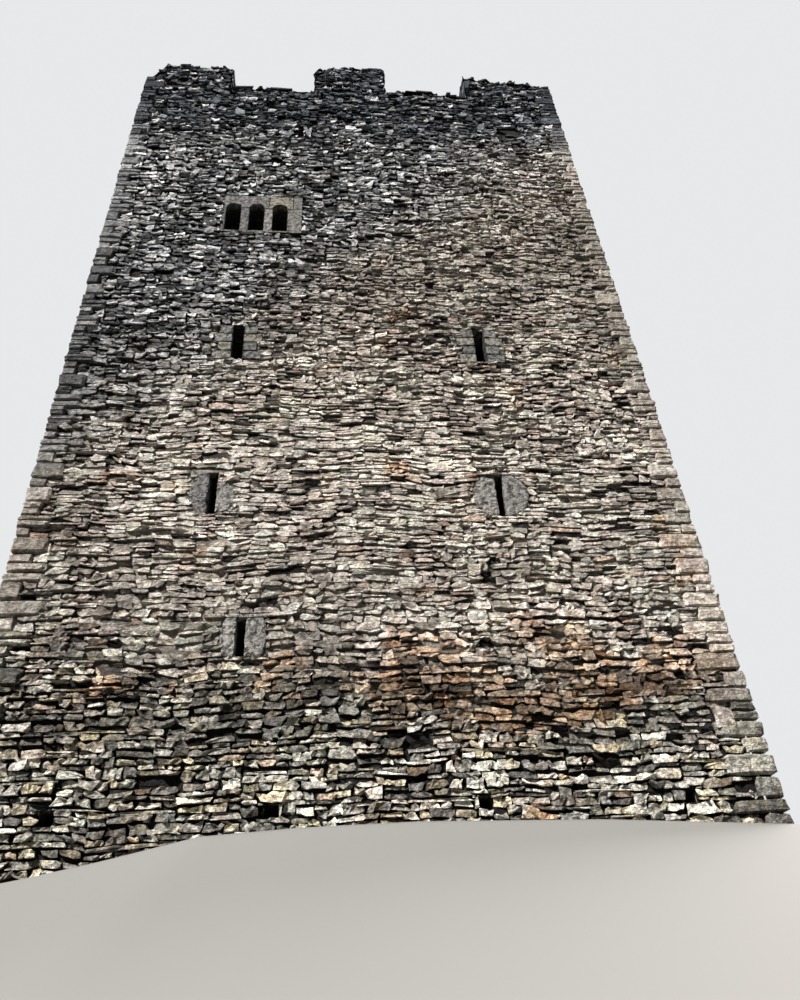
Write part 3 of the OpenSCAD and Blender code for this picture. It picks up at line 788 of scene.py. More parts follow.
def clipHeights(u0, u1, v0, v1, holes):
    # A stone that reaches past the top or foot of an opening is cut at it
    parts = [(v0, v1)]
    for hole in holes:
        if u1 <= hole["left"] or u0 >= hole["right"] or v1 <= hole["low"] or v0 >= hole["high"]:
            continue
        for edge in (hole["low"], hole["high"]):
            parts = [part for s, e in parts for part in cutAt(s, e, edge)]
    return [part for part in parts if part[1] - part[0] > laying["lowest"]]


def easeNear(u, v, holes, half):
    # 0 beside openings and corners, 1 in the open wall
    corner, over, opening = laying["calm"]
    ease = np.clip((half - corner - np.abs(u)) / over, 0, 1)
    for hole in holes:
        beside = np.maximum(hole["left"] - u, u - hole["right"])
        above = np.maximum(hole["low"] - v, v - hole["high"])
        ease = np.minimum(ease, np.clip(np.maximum(beside, above) / opening, 0, 1))
    return ease


def wave(u, v, seed):
    first, second = np.sin(0.9 * u + 0.35 * v + seed), np.sin(2.1 * u - 0.8 * v + 2.3 * seed)
    return (first + 0.6 * second + 0.35 * np.sin(4.3 * u + 1.9 * v + 0.7 * seed)) / 1.95


def stonesOf(rng, cells, plane, half, holes, seed, sway=0.05, inset=0.03, cap=0.106, top=None):
    # Turns laid cells into eight-cornered stones on a plane: origin, right, up and out
    n = len(cells)
    u0, u1, v0, v1 = np.array([c[:4] for c in cells]).T
    wide, tall = u1 - u0, v1 - v0
    styles = [c[4] for c in cells]
    ends = [[s[k][i] for s in styles] * 2 for k in ("joint", "bed") for i in (0, 1)]
    joints = [rng.uniform(ends[i], ends[i + 1]).reshape(2, n) for i in (0, 2)]
    joints = np.minimum(np.concatenate(joints).T / 2, laying["share"] * np.minimum(wide, tall)[:, None])
    least, most = np.array([s["proud"] for s in styles]).T
    proud = least + rng.beta(1.6, 1.6, n) * (most - least)
    tilt = np.array([s["tilt"] for s in styles])
    jitter = np.minimum([s["jitter"] for s in styles], laying["share"] * np.stack([wide, tall], 1))
    left, right, low, high = u0 + joints[:, 0], u1 - joints[:, 1], v0 + joints[:, 2], v1 - joints[:, 3]
    us = np.stack([left, right, right, left], 1) + rng.uniform(-1, 1, (n, 4)) * jitter[:, :1]
    vs = np.stack([low, low, high, high], 1) + rng.uniform(-1, 1, (n, 4)) * jitter[:, 1:]
    ease = easeNear(us, vs, holes, half)
    vs = vs + (sway * wave(us, vs, seed) + 0.3 * sway * wave(3.1 * us, 2.7 * vs, seed + 2)) * ease
    us = us + 0.5 * sway * wave(1.3 * us, 2.6 * vs, seed + 4) * ease
    if top:
        vs = np.minimum(vs, top(np.clip(us, u0[:, None] + 0.015, u1[:, None] - 0.015)))
    roll = 0.010 * wave(us * 0.7, vs * 0.7, seed + 5)
    depth = proud[:, None] + rng.uniform(-1, 1, (n, 4)) * tilt[:, None] + roll
    depth = np.clip(depth, 0.002, cap)
    origin, along, up, out = (np.array(plane[k], float) for k in ("origin", "right", "up", "out"))
    base = origin + us[..., None] * along + vs[..., None] * up
    corners = np.concatenate([base - inset * out, base + depth[..., None] * out], 1)
    tone = rng.random((n, 2))
    # An empty stone gets no brightness, so that it is painted near black as the shade of a hollow
    tone[:, 1] = np.where([s.get("empty", False) for s in styles], 0.0, 0.06 + 0.94 * tone[:, 1])
    tone = np.array([s.get("tone", t) for s, t in zip(styles, tone)])
    family = [s["family"] for s in styles]
    return {"corners": corners, "ratio": wide / tall, "family": family, "tone": tone}


def joinBatches(batches):
    batches = [b for b in batches if b]
    joined = {k: np.concatenate([b[k] for b in batches]) for k in ("corners", "ratio", "tone")}
    return {**joined, "family": sum([list(b["family"]) for b in batches], [])}


def meshStones(name, rng, laid):
    # Shapes each laid stone from a kit stone and joins them all in one mesh
    groups = {}
    for i, (family, ratio) in enumerate(zip(laid["family"], laid["ratio"])):
        key = (family, kitSize(family, ratio), int(rng.integers(kitPlan[family]["variants"])))
        groups.setdefault(key, []).append(i)
    points, faces, tones, offset = [], [], [], 0
    for key in sorted(groups):
        stone, members = stoneKit[key], groups[key]
        s, t, d = stone["points"].T
        flip = rng.random(len(members)) < 0.5
        corners = laid["corners"][members]
        s = np.where(flip[:, None], 1 - s, s)
        c = [corners[:, k, None, :] for k in range(8)]
        s, t, d = s[..., None], np.broadcast_to(t, s.shape)[..., None], np.broadcast_to(d, s.shape)[..., None]
        back = (c[0] * (1 - s) + c[1] * s) * (1 - t) + (c[3] * (1 - s) + c[2] * s) * t
        front = (c[4] * (1 - s) + c[5] * s) * (1 - t) + (c[7] * (1 - s) + c[6] * s) * t
        placed = back * (1 - d) + front * d
        count = len(stone["points"])
        tri = stone["faces"][None] + offset + count * np.arange(len(members))[:, None, None]
        tri[flip] = tri[flip][..., ::-1]
        points.append(placed.reshape(-1, 3))
        faces.append(tri.reshape(-1, 3))
        # The third channel, a point's depth in its stone, drives the painted shade towards the back; corner
        # stones get none
        loose = key[0] != "quoin"
        own = np.repeat(laid["tone"][members][:, None, :], count, 1)
        shade = np.concatenate([own, d if loose else d * 0 + 1, d * 0 + (1.0 if loose else 0.4)], 2)
        tones.append(shade.reshape(-1, 4))
        offset += count * len(members)
    points = np.clip(np.concatenate(points), np.array(cadLow), np.array(cadHigh))
    return meshOf(name, points, np.concatenate(faces), np.concatenate(tones))


def meshOf(name, points, faces, tones):
    mesh = bpy.data.meshes.new(name)
    mesh.vertices.add(len(points))
    mesh.vertices.foreach_set("co", points.astype(np.float32).ravel())
    mesh.loops.add(faces.size)
    mesh.loops.foreach_set("vertex_index", faces.astype(np.int32).ravel())
    mesh.polygons.add(len(faces))
    mesh.polygons.foreach_set("loop_start", np.arange(0, faces.size, 3, dtype=np.int32))
    mesh.update(calc_edges=True)
    mesh.validate()
    mesh.shade_flat()
    paintTones(mesh, tones)
    print(name, len(faces), "triangles")
    return showNew(name, mesh)


def paintTones(mesh, tones):
    layer = mesh.attributes.new("stoneTone", "FLOAT_COLOR", "POINT")
    layer.data.foreach_set("color", np.clip(tones, 0, 1).astype(np.float32).ravel())


def dress(obj, material, slotName, *nodes):
    wear(obj, material)
    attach(obj, "root")
    if nodes:
        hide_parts(*nodes)


# Dressed stones, copied from the CAD solids

dressings = {
    "ground_slit_slabs": {"slot": "slab_stone", "edge": 0.030, "rough": 0.013, "cell": 0.055},
    "ground_slit_lintels": {"slot": "slab_stone", "edge": 0.012, "rough": 0.006, "cell": 0.12},
    "first_slit_slabs": {"slot": "slab_stone", "edge": 0.035, "rough": 0.013, "cell": 0.055},
    "upper_slit_jambs": {"slot": "dressed_stone", "edge": 0.018, "rough": 0.009, "cell": 0.075},
    "window_sill_slab": {"slot": "dressed_stone", "edge": 0.014, "rough": 0.009, "cell": 0.07},
    "window_jambs": {"slot": "dressed_stone", "edge": 0.016, "rough": 0.009, "cell": 0.06},
    "window_mullions": {"slot": "dressed_stone", "edge": 0.016, "rough": 0.008, "cell": 0.06},
    "window_heads": {"slot": "dressed_stone", "edge": 0.012, "rough": 0.007, "cell": 0.08},
    "door_jambs": {"slot": "dressed_stone", "edge": 0.020, "rough": 0.006, "cell": 0.24},
    "door_arch": {"slot": "dressed_stone", "edge": 0.014, "rough": 0.004, "cell": 0.30},
    "door_threshold": {"slot": "dressed_stone", "edge": 0.020, "rough": 0.006, "cell": 0.24},
}


def onlySelect(obj):
    bpy.ops.object.select_all(action="DESELECT")
    obj.select_set(True)
    bpy.context.view_layer.objects.active = obj


def copySolids(node):
    # The closed solids of a CAD node as objects of their own
    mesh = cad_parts[node].data.copy()
    mesh.materials.clear()
    onlySelect(showNew(f"{node}_stone", mesh))
    editMode()
    selectAll()
    bpy.ops.mesh.remove_doubles(threshold=0.0002)
    bpy.ops.mesh.dissolve_limited(angle_limit=0.02)
    bpy.ops.mesh.separate(type="LOOSE")
    editMode(False)
    return list(bpy.context.selected_objects)


def sideOf(centre):
    if abs(centre[1]) > abs(centre[0]):
        return 0 if centre[1] < 0 else 2
    return 1 if centre[0] > 0 else 3


def flatOn(side, points):
    # Points as a side shows them: along and up
    return np.stack([points[:, :2] @ np.array(sideAxes[side][0]), points[:, 2]], 1)


def measureSolids(node):
    # Each solid with its side and its outline on that side
    found = []
    for obj in copySolids(node):
        points = pointsOf(obj)
        side = sideOf(points.mean(0))
        found.append({"obj": obj, "node": node, "side": side, "flat": flatOn(side, points)})
    return found


def convexReach(points):
    # For a height, the ends of a convex outline given as points along and up
    ring = [points[i] for i in convex_hull_2d([tuple(p) for p in points])]
    edges = list(zip(ring, ring[1:] + ring[:1]))

    def reach(v):
        found = []
        for (u0, v0), (u1, v1) in edges:
            if min(v0, v1) - 1e-6 <= v <= max(v0, v1) + 1e-6:
                share = 0.5 if abs(v1 - v0) < 1e-6 else (v - v0) / (v1 - v0)
                found.append(u0 + share * (u1 - u0))
        return (min(found), max(found)) if found else (1e3, -1e3)

    return reach


def rectHole(u0, u1, v0, v1, reach=None):
    return {"left": u0, "right": u1, "low": v0, "high": v1, "reach": reach or (lambda v: (u0, u1))}


def outlineHole(flat, reach=None):
    (u0, v0), (u1, v1) = flat.min(0), flat.max(0)
    return rectHole(u0, u1, v0, v1, reach)


smallHoles = {
    "slitColumn": 1.2, "slitRow": 1.9, "slitLap": 0.02,  # which stones stand beside one slit
    "putlogs": (-4.18, -1.38, 1.42, 4.22), "putlogSide": 0.19, "putlogFoot": 0.80,
    "putlogEnds": (0.19, 2.39),  # least way to the ends of the front and back, of the sides
    "drain": (-1.445, -1.315), "drainHeights": (17.06, 17.54),
}
singles = [  # left, right, foot and top on the front, tone, proud
    (-1.27, -1.09, 17.02, 17.50, (0.62, 0.76), (0.06, 0.07)),  # pale upright stone beside the drain
    (-1.84, -1.62, 17.08, 17.42, (0.55, 0.70), (0.06, 0.07)),
    (3.72, 4.28, 17.60, 17.84, (0.0, 0.0), (0.002, 0.004)),  # hollow with a foot, painted near black as its shade
    (3.72, 3.94, 17.28, 17.60, (0.0, 0.0), (0.002, 0.004)),
    (4.86, 5.14, 1.78, 2.08, (0.5, 0.6), (0.10, 0.104)),
]


def slitGaps(measured):
    # The slits between the dressed stones that stand on both sides of them
    plan = smallHoles
    groups = {}
    for solid in measured:
        u, v = solid["flat"].mean(0)
        if solid["node"] != "door_arch" and "window" not in solid["node"]:
            column = u > 0 if abs(u) > plan["slitColumn"] else 2
            groups.setdefault((solid["side"], column, int(v // plan["slitRow"])), []).append(solid["flat"])
    for (side, _, _), flats in groups.items():
        ends = [(f[:, 0].min(), f[:, 0].max()) for f in flats]
        centre = (min(e[0] for e in ends) + max(e[1] for e in ends)) / 2
        leftOf, rightOf = [e[1] for e in ends if e[1] < centre], [e[0] for e in ends if e[0] > centre]
        if leftOf and rightOf:
            low, high = min(f[:, 1].min() for f in flats), max(f[:, 1].max() for f in flats)
            yield side, rectHole(max(leftOf) - plan["slitLap"], min(rightOf) + plan["slitLap"], low, high)


def findHoles(measured):
    # What the laid stones leave free on each side
    holes = [[], [], [], []]
    for solid in measured:
        holes[solid["side"]].append(outlineHole(solid["flat"], convexReach(solid["flat"])))
    for side, hole in slitGaps(measured):
        holes[side].append(hole)
    holes[0].append(outlineHole(np.concatenate([s["flat"] for s in measured if "window" in s["node"]])))
    plan = smallHoles
    half, foot = plan["putlogSide"] / 2, plan["putlogFoot"]
    for side in range(4):
        for x in plan["putlogs"]:
            if abs(x) < wallHalf - plan["putlogEnds"][side % 2]:
                holes[side].append(rectHole(x - half, x + half, foot, foot + plan["putlogSide"]))
        holes[side].append(rectHole(*plan["drain"], *plan["drainHeights"]))
    holes[0] += [rectHole(*single[:4]) for single in singles]
    return holes


measured = [solid for node in dressings for solid in measureSolids(node)]
holes = findHoles(measured)
print("holes per side:", [len(h) for h in holes])

# Courses, corner stones and the four faces

layout = {
    "seed": 41,
    "course": (0.17, 0.33),
    "sway": 0.07,  # how far the courses wander
    "coarse": (1.0, 1.6, 1.6, 1.6),  # stones of the unseen faces are a little larger
    "calmUpper": (0.2, 0.5), "calmTop": (0.25, 0.45),  # least and span of the evener tones
    "eroded": [  # centre along and up, reach along and up, share of the stones that are worn away
        (3.6, 1.85, 1.8, 0.20, 0.8), (4.0, 17.55, 0.30, 0.34, 1.0), (-4.6, 1.5, 0.8, 0.5, 0.15),
        (0.3, 2.0, 1.4, 0.3, 0.2), (-2.9, 2.80, 1.5, 0.12, 0.3), (0.2, 2.85, 1.2, 0.12, 0.3),
        (-0.9, 6.6, 0.5, 0.14, 0.6), (1.6, 9.6, 0.4, 0.12, 0.6), (-3.6, 3.6, 0.6, 0.12, 0.5),
    ],
    "wornFace": {"proud": (0.004, 0.024), "tilt": 0.004},
    "emptyShare": (0.1, 0.7), "emptyFrom": 8,  # share of sunk stones painted near black as shaded hollows, below and above a height
}
quoinPlan = {
    "long": (0.42, 0.70), "short": (0.24, 0.36), "slim": 0.66, "slimFrom": 5.0,  # shorter from a height
    "least": 0.05, "splitFrom": 0.18, "split": (0.48, 0.52),  # a course is one corner stone or two
    "whole": 0.45, "wholeFoot": 0.8, "footTop": 6.5,  # share of the courses left whole
    "proud": (0.058, 0.084), "baseProud": 0.012, "baseTop": 2.4, "most": 0.104,
    "joint": (0.006, 0.016), "wobble": 0.012, "wobbleOut": 0.010, "topAt": 0.15,
    "tone": (0.05, 0.42), "pale": (0.50, 0.2), "paleHeights": (2.9, 4.8),  # least and span of the tones
}


def courseLevels(rng, low, high):
    least, most = layout["course"]
    levels = [low]
    while high - levels[-1] > 1.4 * most:
        levels.append(levels[-1] + rng.uniform(least, most))
    rest = high - levels[-1]
    return levels + ([levels[-1] + rest / 2, high] if rest > most else [high])


def parapetProfile(side):
    # Merlons as points along their worn tops, and crenels with their sills, read from the CAD outline
    points = pointsOf(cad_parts[sideNames[side] + "_parapet"])
    flat = np.unique(np.round(flatOn(side, points), 4), axis=0)
    flat = flat[flat[:, 1] > crenelLevel - 0.3]
    half = wallHalf if side % 2 == 0 else wallHalf - parapetPlan["thick"]
    ends = [-half, *crenelEnds, half]
    merlons = []
    for left, right in zip(ends[::2], ends[1::2]):
        tops = {}
        for u, v in flat[(flat[:, 0] > left - 0.01) & (flat[:, 0] < right + 0.01)]:
            tops[round(u, 3)] = max(v, tops.get(round(u, 3), 0))
        merlons.append(sorted(tops.items()))
    sills = []
    for left, right in (crenelEnds[:2], crenelEnds[2:]):
        sills.append((left, right, min(flat[np.abs(flat[:, 0] - left) < 0.01][:, 1])))
    return merlons, sills


profiles = [parapetProfile(side) for side in range(4)]
print("merlons per side:", [len(merlons) for merlons, _ in profiles])


def topLine(side):
    # The top of a side over its whole width: merlons, sills, and the neighbours' ends at the corners
    merlons, sills = profiles[side]
    flat = [p for m in merlons for p in m] + [p for a, b, v in sills for p in ((a + 1e-3, v), (b - 1e-3, v))]
    flat.sort()
    if side % 2:
        first, last = profiles[side - 1][0][2][-1][1], profiles[(side + 1) % 4][0][0][0][1]
        inner = wallHalf - (parapetPlan["thick"] - 1e-3)
        flat = [(-wallHalf, first), (-inner, first), *flat, (inner, last), (wallHalf, last)]
    us, vs = zip(*flat)
    return lambda u: np.interp(u, us, vs)


def axesAt(side):
    return [Vector((*axis, 0.0)) for axis in sideAxes[side]]


def planeOf(side, away=0.0, turn=1):
    # A wall face, or with turn -1 one that looks inwards
    along, out = axesAt(side)
    return {"origin": out * (wallHalf - away), "right": along * turn, "up": zUp, "out": out * turn}


def erode(rng, side, cells):
    # Sinks stones where the face is worn out, some painted near black as shaded hollows, and turns some small
    # ones into such hollows
    kept = []
    for u0, u1, v0, v1, style in cells:
        u, v = (u0 + u1) / 2, (v0 + v1) / 2
        sunk = [
            ((u - eu) / ru) ** 2 + ((v - ev) / rv) ** 2 < 1 and rng.random() < share
            for eu, ev, ru, rv, share in (layout["eroded"] if side == 0 else [])
        ]
        empty = rng.random() < layout["emptyShare"][int(v >= layout["emptyFrom"])]
        small = (u1 - u0) * (v1 - v0) < 0.8 * style["length"][1] * style["thick"][1]
        hollow = small and rng.random() < style["voids"]
        if hollow or any(sunk):
            style = {**style, **layout["wornFace"], "empty": hollow or empty}
        kept.append((u0, u1, v0, v1, style))
    return kept


rng = np.random.default_rng(layout["seed"])
levels = courseLevels(rng, 0.0, crenelLevel)
levels += courseLevels(rng, crenelLevel, crenelLevel + parapetPlan["most"])[1:]


def quoinSizes(rng):
    # Per corner, the lengths along the side before it and along the side after it, long and short by turns
    sizes = []
    slim = np.where(np.array(levels) > quoinPlan["slimFrom"], quoinPlan["slim"], 1.0)
    for corner in range(4):
        longs, shorts = (rng.uniform(*quoinPlan[k], len(levels)) * slim for k in ("long", "short"))
        swap = (np.arange(len(levels)) + corner) % 2 == 0
        sizes.append((np.where(swap, longs, shorts), np.where(swap, shorts, longs)))
    return sizes


quoinLengths = quoinSizes(rng)


def cornerBoxes(rng, corner):
    # Start before the corner, length after it, foot and top of each corner stone
    plan = quoinPlan
    near = wallHalf - plan["topAt"]
    top = min(topLine(corner)(near), topLine((corner + 1) % 4)(-near))
    boxes = []
    for v0, v1, before, after in zip(levels, levels[1:], *quoinLengths[corner]):
        v1 = min(v1, top)
        high = v1 - v0
        if high < plan["least"]:
            continue
        parts = [(v0, v1)]
        whole = plan["wholeFoot"] if v0 < plan["footTop"] and corner in (0, 2) else plan["whole"]
        if high >= plan["splitFrom"] and rng.random() >= whole:
            parts = [(v0, v0 + high * plan["split"][0]), (v0 + high * plan["split"][1], v1)]
        boxes += [(wallHalf - before, after, *part) for part in parts]
    return np.array(boxes)


def cornerStones(rng):
    plan = quoinPlan
    batches = []
    for corner in range(4):
        start, after, low, high = cornerBoxes(rng, corner).T
        n = len(start)
        origin, right, up, out = (np.array(part) for part in planeOf(corner).values())
        proud = rng.uniform(*plan["proud"], (n, 2)) + plan["baseProud"] * (low < plan["baseTop"])[:, None]
        joint = rng.uniform(*plan["joint"], (n, 4))
        us = (start + joint[:, 0], wallHalf + proud[:, 0])
        vs = (low + joint[:, 1], high - joint[:, 2])
        ws = (-after + joint[:, 3], proud[:, 1])
        corners = []
        for face in (0, 1):
            for i, j in ((0, 0), (1, 0), (1, 1), (0, 1)):
                u, v = (part + rng.uniform(-plan["wobble"], plan["wobble"], n) for part in (us[i], vs[j]))
                w = ws[face] + rng.uniform(-plan["wobbleOut"], plan["wobbleOut"], n)
                u, w = np.minimum(u, wallHalf + plan["most"]), np.minimum(w, plan["most"])
                corners.append(origin + u[:, None] * right + v[:, None] * up + w[:, None] * out)
        isPale = (low > plan["paleHeights"][0]) & (low < plan["paleHeights"][1]) & (corner == 0)
        pale, common = (least + span * rng.random((n, 2)) for least, span in (plan["pale"], plan["tone"]))
        batch = {"corners": np.stack(corners, 1), "ratio": np.ones(n), "family": ["quoin"] * n}
        batches.append({**batch, "tone": np.where(isPale[:, None], pale, common)})
    return joinBatches(batches)


def layFace(rng, side):
    right, left = quoinLengths[side][0], quoinLengths[side - 1][1]
    ends = (lambda k: left[k] - wallHalf, lambda k: wallHalf - right[k])
    cells = erode(rng, side, layWall(rng, levels, *ends, holes[side], topLine(side), layout["coarse"][side]))
    if side == 0:
        for *cell, tone, proud in singles:
            own = {"tone": tone, "proud": proud, "jitter": (0.015, 0.015), "tilt": 0.002}
            cells.append((*cell, {**styleAt(cell[0], cell[2]), **own}))
    return cells


def calmed(laid, least, span):
    # Evener tones for the weathered tops and the sides that face the sun
    laid["tone"][:, 1] = least + span * laid["tone"][:, 1]
    return laid


def layFaces(rng):
    for side, name in enumerate(sideNames):
        bands = {"base": [], "middle": [], "upper": []}
        for cell in layFace(rng, side):
            bands[cell[4]["band"]].append(cell)
        for band, cells in bands.items():
            shape = {"sway": layout["sway"], "top": topLine(side)}
            laid = stonesOf(rng, cells, planeOf(side), wallHalf, holes[side], 3.1 * side, **shape)
            if side and band == "upper":
                laid = calmed(laid, *layout["calmUpper"])
            slotName = "base_rubble" if band == "base" else "wall_rubble"
            dress(meshStones(f"{name}_{band}_stones", rng, laid), rubbleStone, slotName)


layFaces(rng)
dress(meshStones("corner_stones", rng, cornerStones(rng)), rubbleStone, "wall_rubble")
print("faces laid")

# Dressed stones of the windows and the doorway

dressedFinish = {
    "tones": [(0.0, (0.20, 0.20, 0.205)), (0.3, (0.26, 0.258, 0.26)), (0.55, (0.33, 0.325, 0.32)),
              (0.8, (0.40, 0.39, 0.37)), (1.0, (0.43, 0.395, 0.315))],
    "slabTones": [(0.0, (0.33, 0.32, 0.32)), (0.5, (0.44, 0.425, 0.41)), (1.0, (0.54, 0.52, 0.49))],
    "inside": 0.25,  # painted shade: brightness inside the openings, away from the outer face of the wall
    "seed": 7, "headTones": ((0.5, 0.5), (1.0, 0.7)), "middleHead": (-2.2, -1.4),  # outer heads, middle head
    "bevelFrom": 40, "unseenCell": 2.6, "jointEdge": 1.3,
}


def carvedMaterial(name, stops, facets, crackLevel):
    material, tree, shader, place = newMaterial(name, 0.9)
    tone = toneOf(tree)
    hue, light, _ = partsOf(tree, tone["Color"])
    grain = placeGroup(tree, stoneGrain, Place=place, Facets=facets, Strata=0.15, Crust=1.0, Rough=2.2)
    level = product(
        tree, spreadOf(tree, light, 0.8, 1.2), grain["Shade"],
        rangeOf(tree, noiseOf(tree, place, 6.0, 6.0, 0.7), 0.36, 0.5, crackLevel, 1.0),
        # Painted shade: darker inside the wall, in the openings' reveals
        rangeOf(tree, farthest(tree, place), wallHalf - 0.16, wallHalf - 0.02, dressedFinish["inside"], 1.0),
        # Painted shade: darker along a block's edges, for the shade in its joints
        rangeOf(tree, tone["Alpha"], 0.05, 0.45, 0.12, 1.0),
    )
    coat(tree, shader, darkened(tree, rampOf(tree, hue, stops), level), grain["Height"])
    return material


dressedStone = carvedMaterial("dressedStone", dressedFinish["tones"], 0.3, 0.6)
slabStone = carvedMaterial("slabStone", dressedFinish["slabTones"], 0.7, 0.4)


def applyNew(obj, kind, **settings):
    made = obj.modifiers.new(kind, kind)
    for name, value in settings.items():
        setattr(made, name, value)
    bpy.ops.object.modifier_apply(modifier=made.name)


def splitLong(obj, cell):
    # Cuts long faces across, so that the jitter reaches inside them
    size = obj.dimensions
    for axis in range(3):
        cuts = int(size[axis] / cell)
        for i in range(1, cuts + 1):
            centre, normal = [0.0, 0.0, 0.0], [0.0, 0.0, 0.0]
            centre[axis] = min(v.co[axis] for v in obj.data.vertices) + size[axis] * i / (cuts + 1)
            normal[axis] = 1.0
            crease(centre, normal)


def carve(obj, plan, cell, seed):
    # Wears a block: edges rounded, long faces split, all of it roughened
    onlySelect(obj)
    angle = math.radians(dressedFinish["bevelFrom"])
    applyNew(obj, "BEVEL", width=plan["edge"], segments=2, limit_method="ANGLE", angle_limit=angle)
    editMode()
    splitLong(obj, cell)
    selectAll()
    bpy.ops.transform.vertex_random(offset=plan["rough"], seed=seed)
    toTriangles()
    editMode(False)


def joinSolids(name, solids, edge):
    # Joined blocks with their tones; the last channel is 0 at a block's edges, which are painted dark as the
    # shade of the joints
    points, faces, tones, offset = [], [], [], 0
    for solid in solids:
        own = pointsOf(solid["obj"])
        flat = own[:, [solid["side"] % 2, 2]]
        inner = np.minimum(flat - flat.min(0), flat.max(0) - flat).min(1) > edge
        points.append(own)
        faces.append(facesOf(solid["obj"]) + offset)
        tones.append(np.column_stack([np.tile([*solid["tone"], 1.0], (len(own), 1)), inner]))
        offset += len(own)
        bpy.data.objects.remove(solid["obj"])
    return meshOf(name, *(np.concatenate(part) for part in (points, faces, tones)))


def dressWindows():
    finish = dressedFinish
    rng = np.random.default_rng(finish["seed"])
    for seed, solid in enumerate(measured, 1):
        plan = dressings[solid["node"]]
        carve(solid["obj"], plan, plan["cell"] * (1.0 if solid["side"] == 0 else finish["unseenCell"]), seed)
        solid["tone"] = rng.random(2)
        if solid["node"] == "window_heads":
            isMiddle = finish["middleHead"][0] <= solid["flat"][:, 0].mean() <= finish["middleHead"][1]
            solid["tone"] = finish["headTones"][int(isMiddle)]
    for node, plan in dressings.items():
        isSlab = plan["slot"] == "slab_stone"  # slabs get no painted joint shade at their edges
        solids = [s for s in measured if s["node"] == node]
        name = node.replace("slit_", "slit_worn_") + "_carved"
        obj = joinSolids(name, solids, -1.0 if isSlab else finish["jointEdge"] * plan["edge"])
        dress(obj, slabStone if isSlab else dressedStone, plan["slot"], node)


dressWindows()
print("dressed stones carved")

# Parapet and wall walk


def fillPlane(rng, plane, u0, u1, v0, v1, style, seed, top=None, cap=0.1, inset=0.03):
    # Covers a rectangle of a plane with stones
    rows = [v0]
    while v1 - rows[-1] > 2 * parapetPlan["row"][0]:
        rows.append(rows[-1] + rng.uniform(*parapetPlan["row"]))
    rows.append(v1)
    cells = layWall(rng, rows, lambda k: u0, lambda k: u1, [], top, parapetPlan["coarse"], masonry[style])
    if not cells:
        return None
    return stonesOf(rng, cells, plane, 99, [], seed, sway=0.0, inset=inset, cap=cap, top=top)


def merlonEnds(rng, side, inner):
    # Faces that look along the wall; their own right runs through it
    along, out = axesAt(side)
    merlons, sills = profiles[side]
    batches = []
    for merlon in merlons:
        for (u, top), turn in ((merlon[0], -1), (merlon[-1], 1)):
            if abs(u) > inner - 0.05:
                continue
            sill = next(v for a, b, v in sills if min(abs(a - u), abs(b - u)) < 0.01)
            plane = {"origin": along * u, "right": out * -turn, "up": zUp, "out": along * turn}
            span = (-wallHalf - 0.03, -inner + 0.03) if turn > 0 else (inner - 0.03, wallHalf + 0.03)
            batches.append(fillPlane(rng, plane, *span, sill, top, "ends", u, cap=0.06, inset=0.02))
    return batches


def wallTops(rng, side, inner):
    # Cap stones on the merlons and the crenels' sills, kept under the highest CAD point
    along, out = axesAt(side)
    merlons, sills = profiles[side]
    batches = []
    lines = [(merlon, parapetPlan["capOver"]) for merlon in merlons]
    lines += [([(a, v), (b, v)], parapetPlan["sillOver"]) for a, b, v in sills]
    for line, most in lines:
        for (a, va), (b, vb) in zip(line, line[1:]):
            if b - a < 0.05:
                continue
            slope = (along * (b - a) + zUp * (vb - va)).normalized()
            plane = {"origin": along * a + zUp * va, "right": slope, "up": -out, "out": slope.cross(-out)}
            room = max(0.02, min(most, cadHigh.z - parapetPlan["under"] - max(va, vb)))
            room = room if abs(slope.z) < 0.6 else 0.03  # steep stretches
            area = (0.0, math.hypot(b - a, vb - va), -wallHalf - 0.05, -inner + 0.04)
            batches.append(fillPlane(rng, plane, *area, "caps", a, cap=room, inset=0.06))
    return batches


def crownStones(rng):
    inner = wallHalf - parapetPlan["thick"]
    batches = []
    for side in range(4):
        line = topLine(side)
        facing = planeOf(side, parapetPlan["thick"], -1)
        area = (-inner, inner, parapetPlan["walk"], crenelLevel + parapetPlan["highest"])
        batches.append(fillPlane(rng, facing, *area, "upper", side, lambda u: line(-u)))
        batches += merlonEnds(rng, side, inner) + wallTops(rng, side, inner)
    return joinBatches(batches)


def walkStones(rng):
    # Paving of the wall walk, and the face under its inner edge
    plan = parapetPlan
    inner, edge = wallHalf - plan["thick"], wallHalf - plan["headThick"]
    batches = []
    for side in range(4):
        along, out = axesAt(side)
        plane = {"origin": zUp * plan["walk"], "right": along, "up": -out, "out": zUp}
        batches.append(fillPlane(rng, plane, -inner, edge, -inner, -edge, "walk", side + 0.5, inset=0.02))
        facing = planeOf(side, plan["headThick"], -1)
        batches.append(fillPlane(rng, facing, -edge, edge, plan["deck"], plan["walk"], "upper", side + 0.7))
    return joinBatches(batches)


tops = {"crown_stones": (crownStones, "parapet_rubble"), "wall_walk_stones": (walkStones, "paving")}
for name, (lay, slotName) in tops.items():
    laid = calmed(lay(rng), *layout["calmTop"])
    dress(meshStones(name, rng, laid), rubbleStone, slotName)
print("crown laid")

# Decks, foundation core and conductor

timber = {
    "board": 0.21, "gap": 0.004, "edge": 0.006,
    "tones": [(0.0, (0.13, 0.105, 0.08)), (0.5, (0.24, 0.20, 0.155)), (1.0, (0.36, 0.32, 0.26))],
}


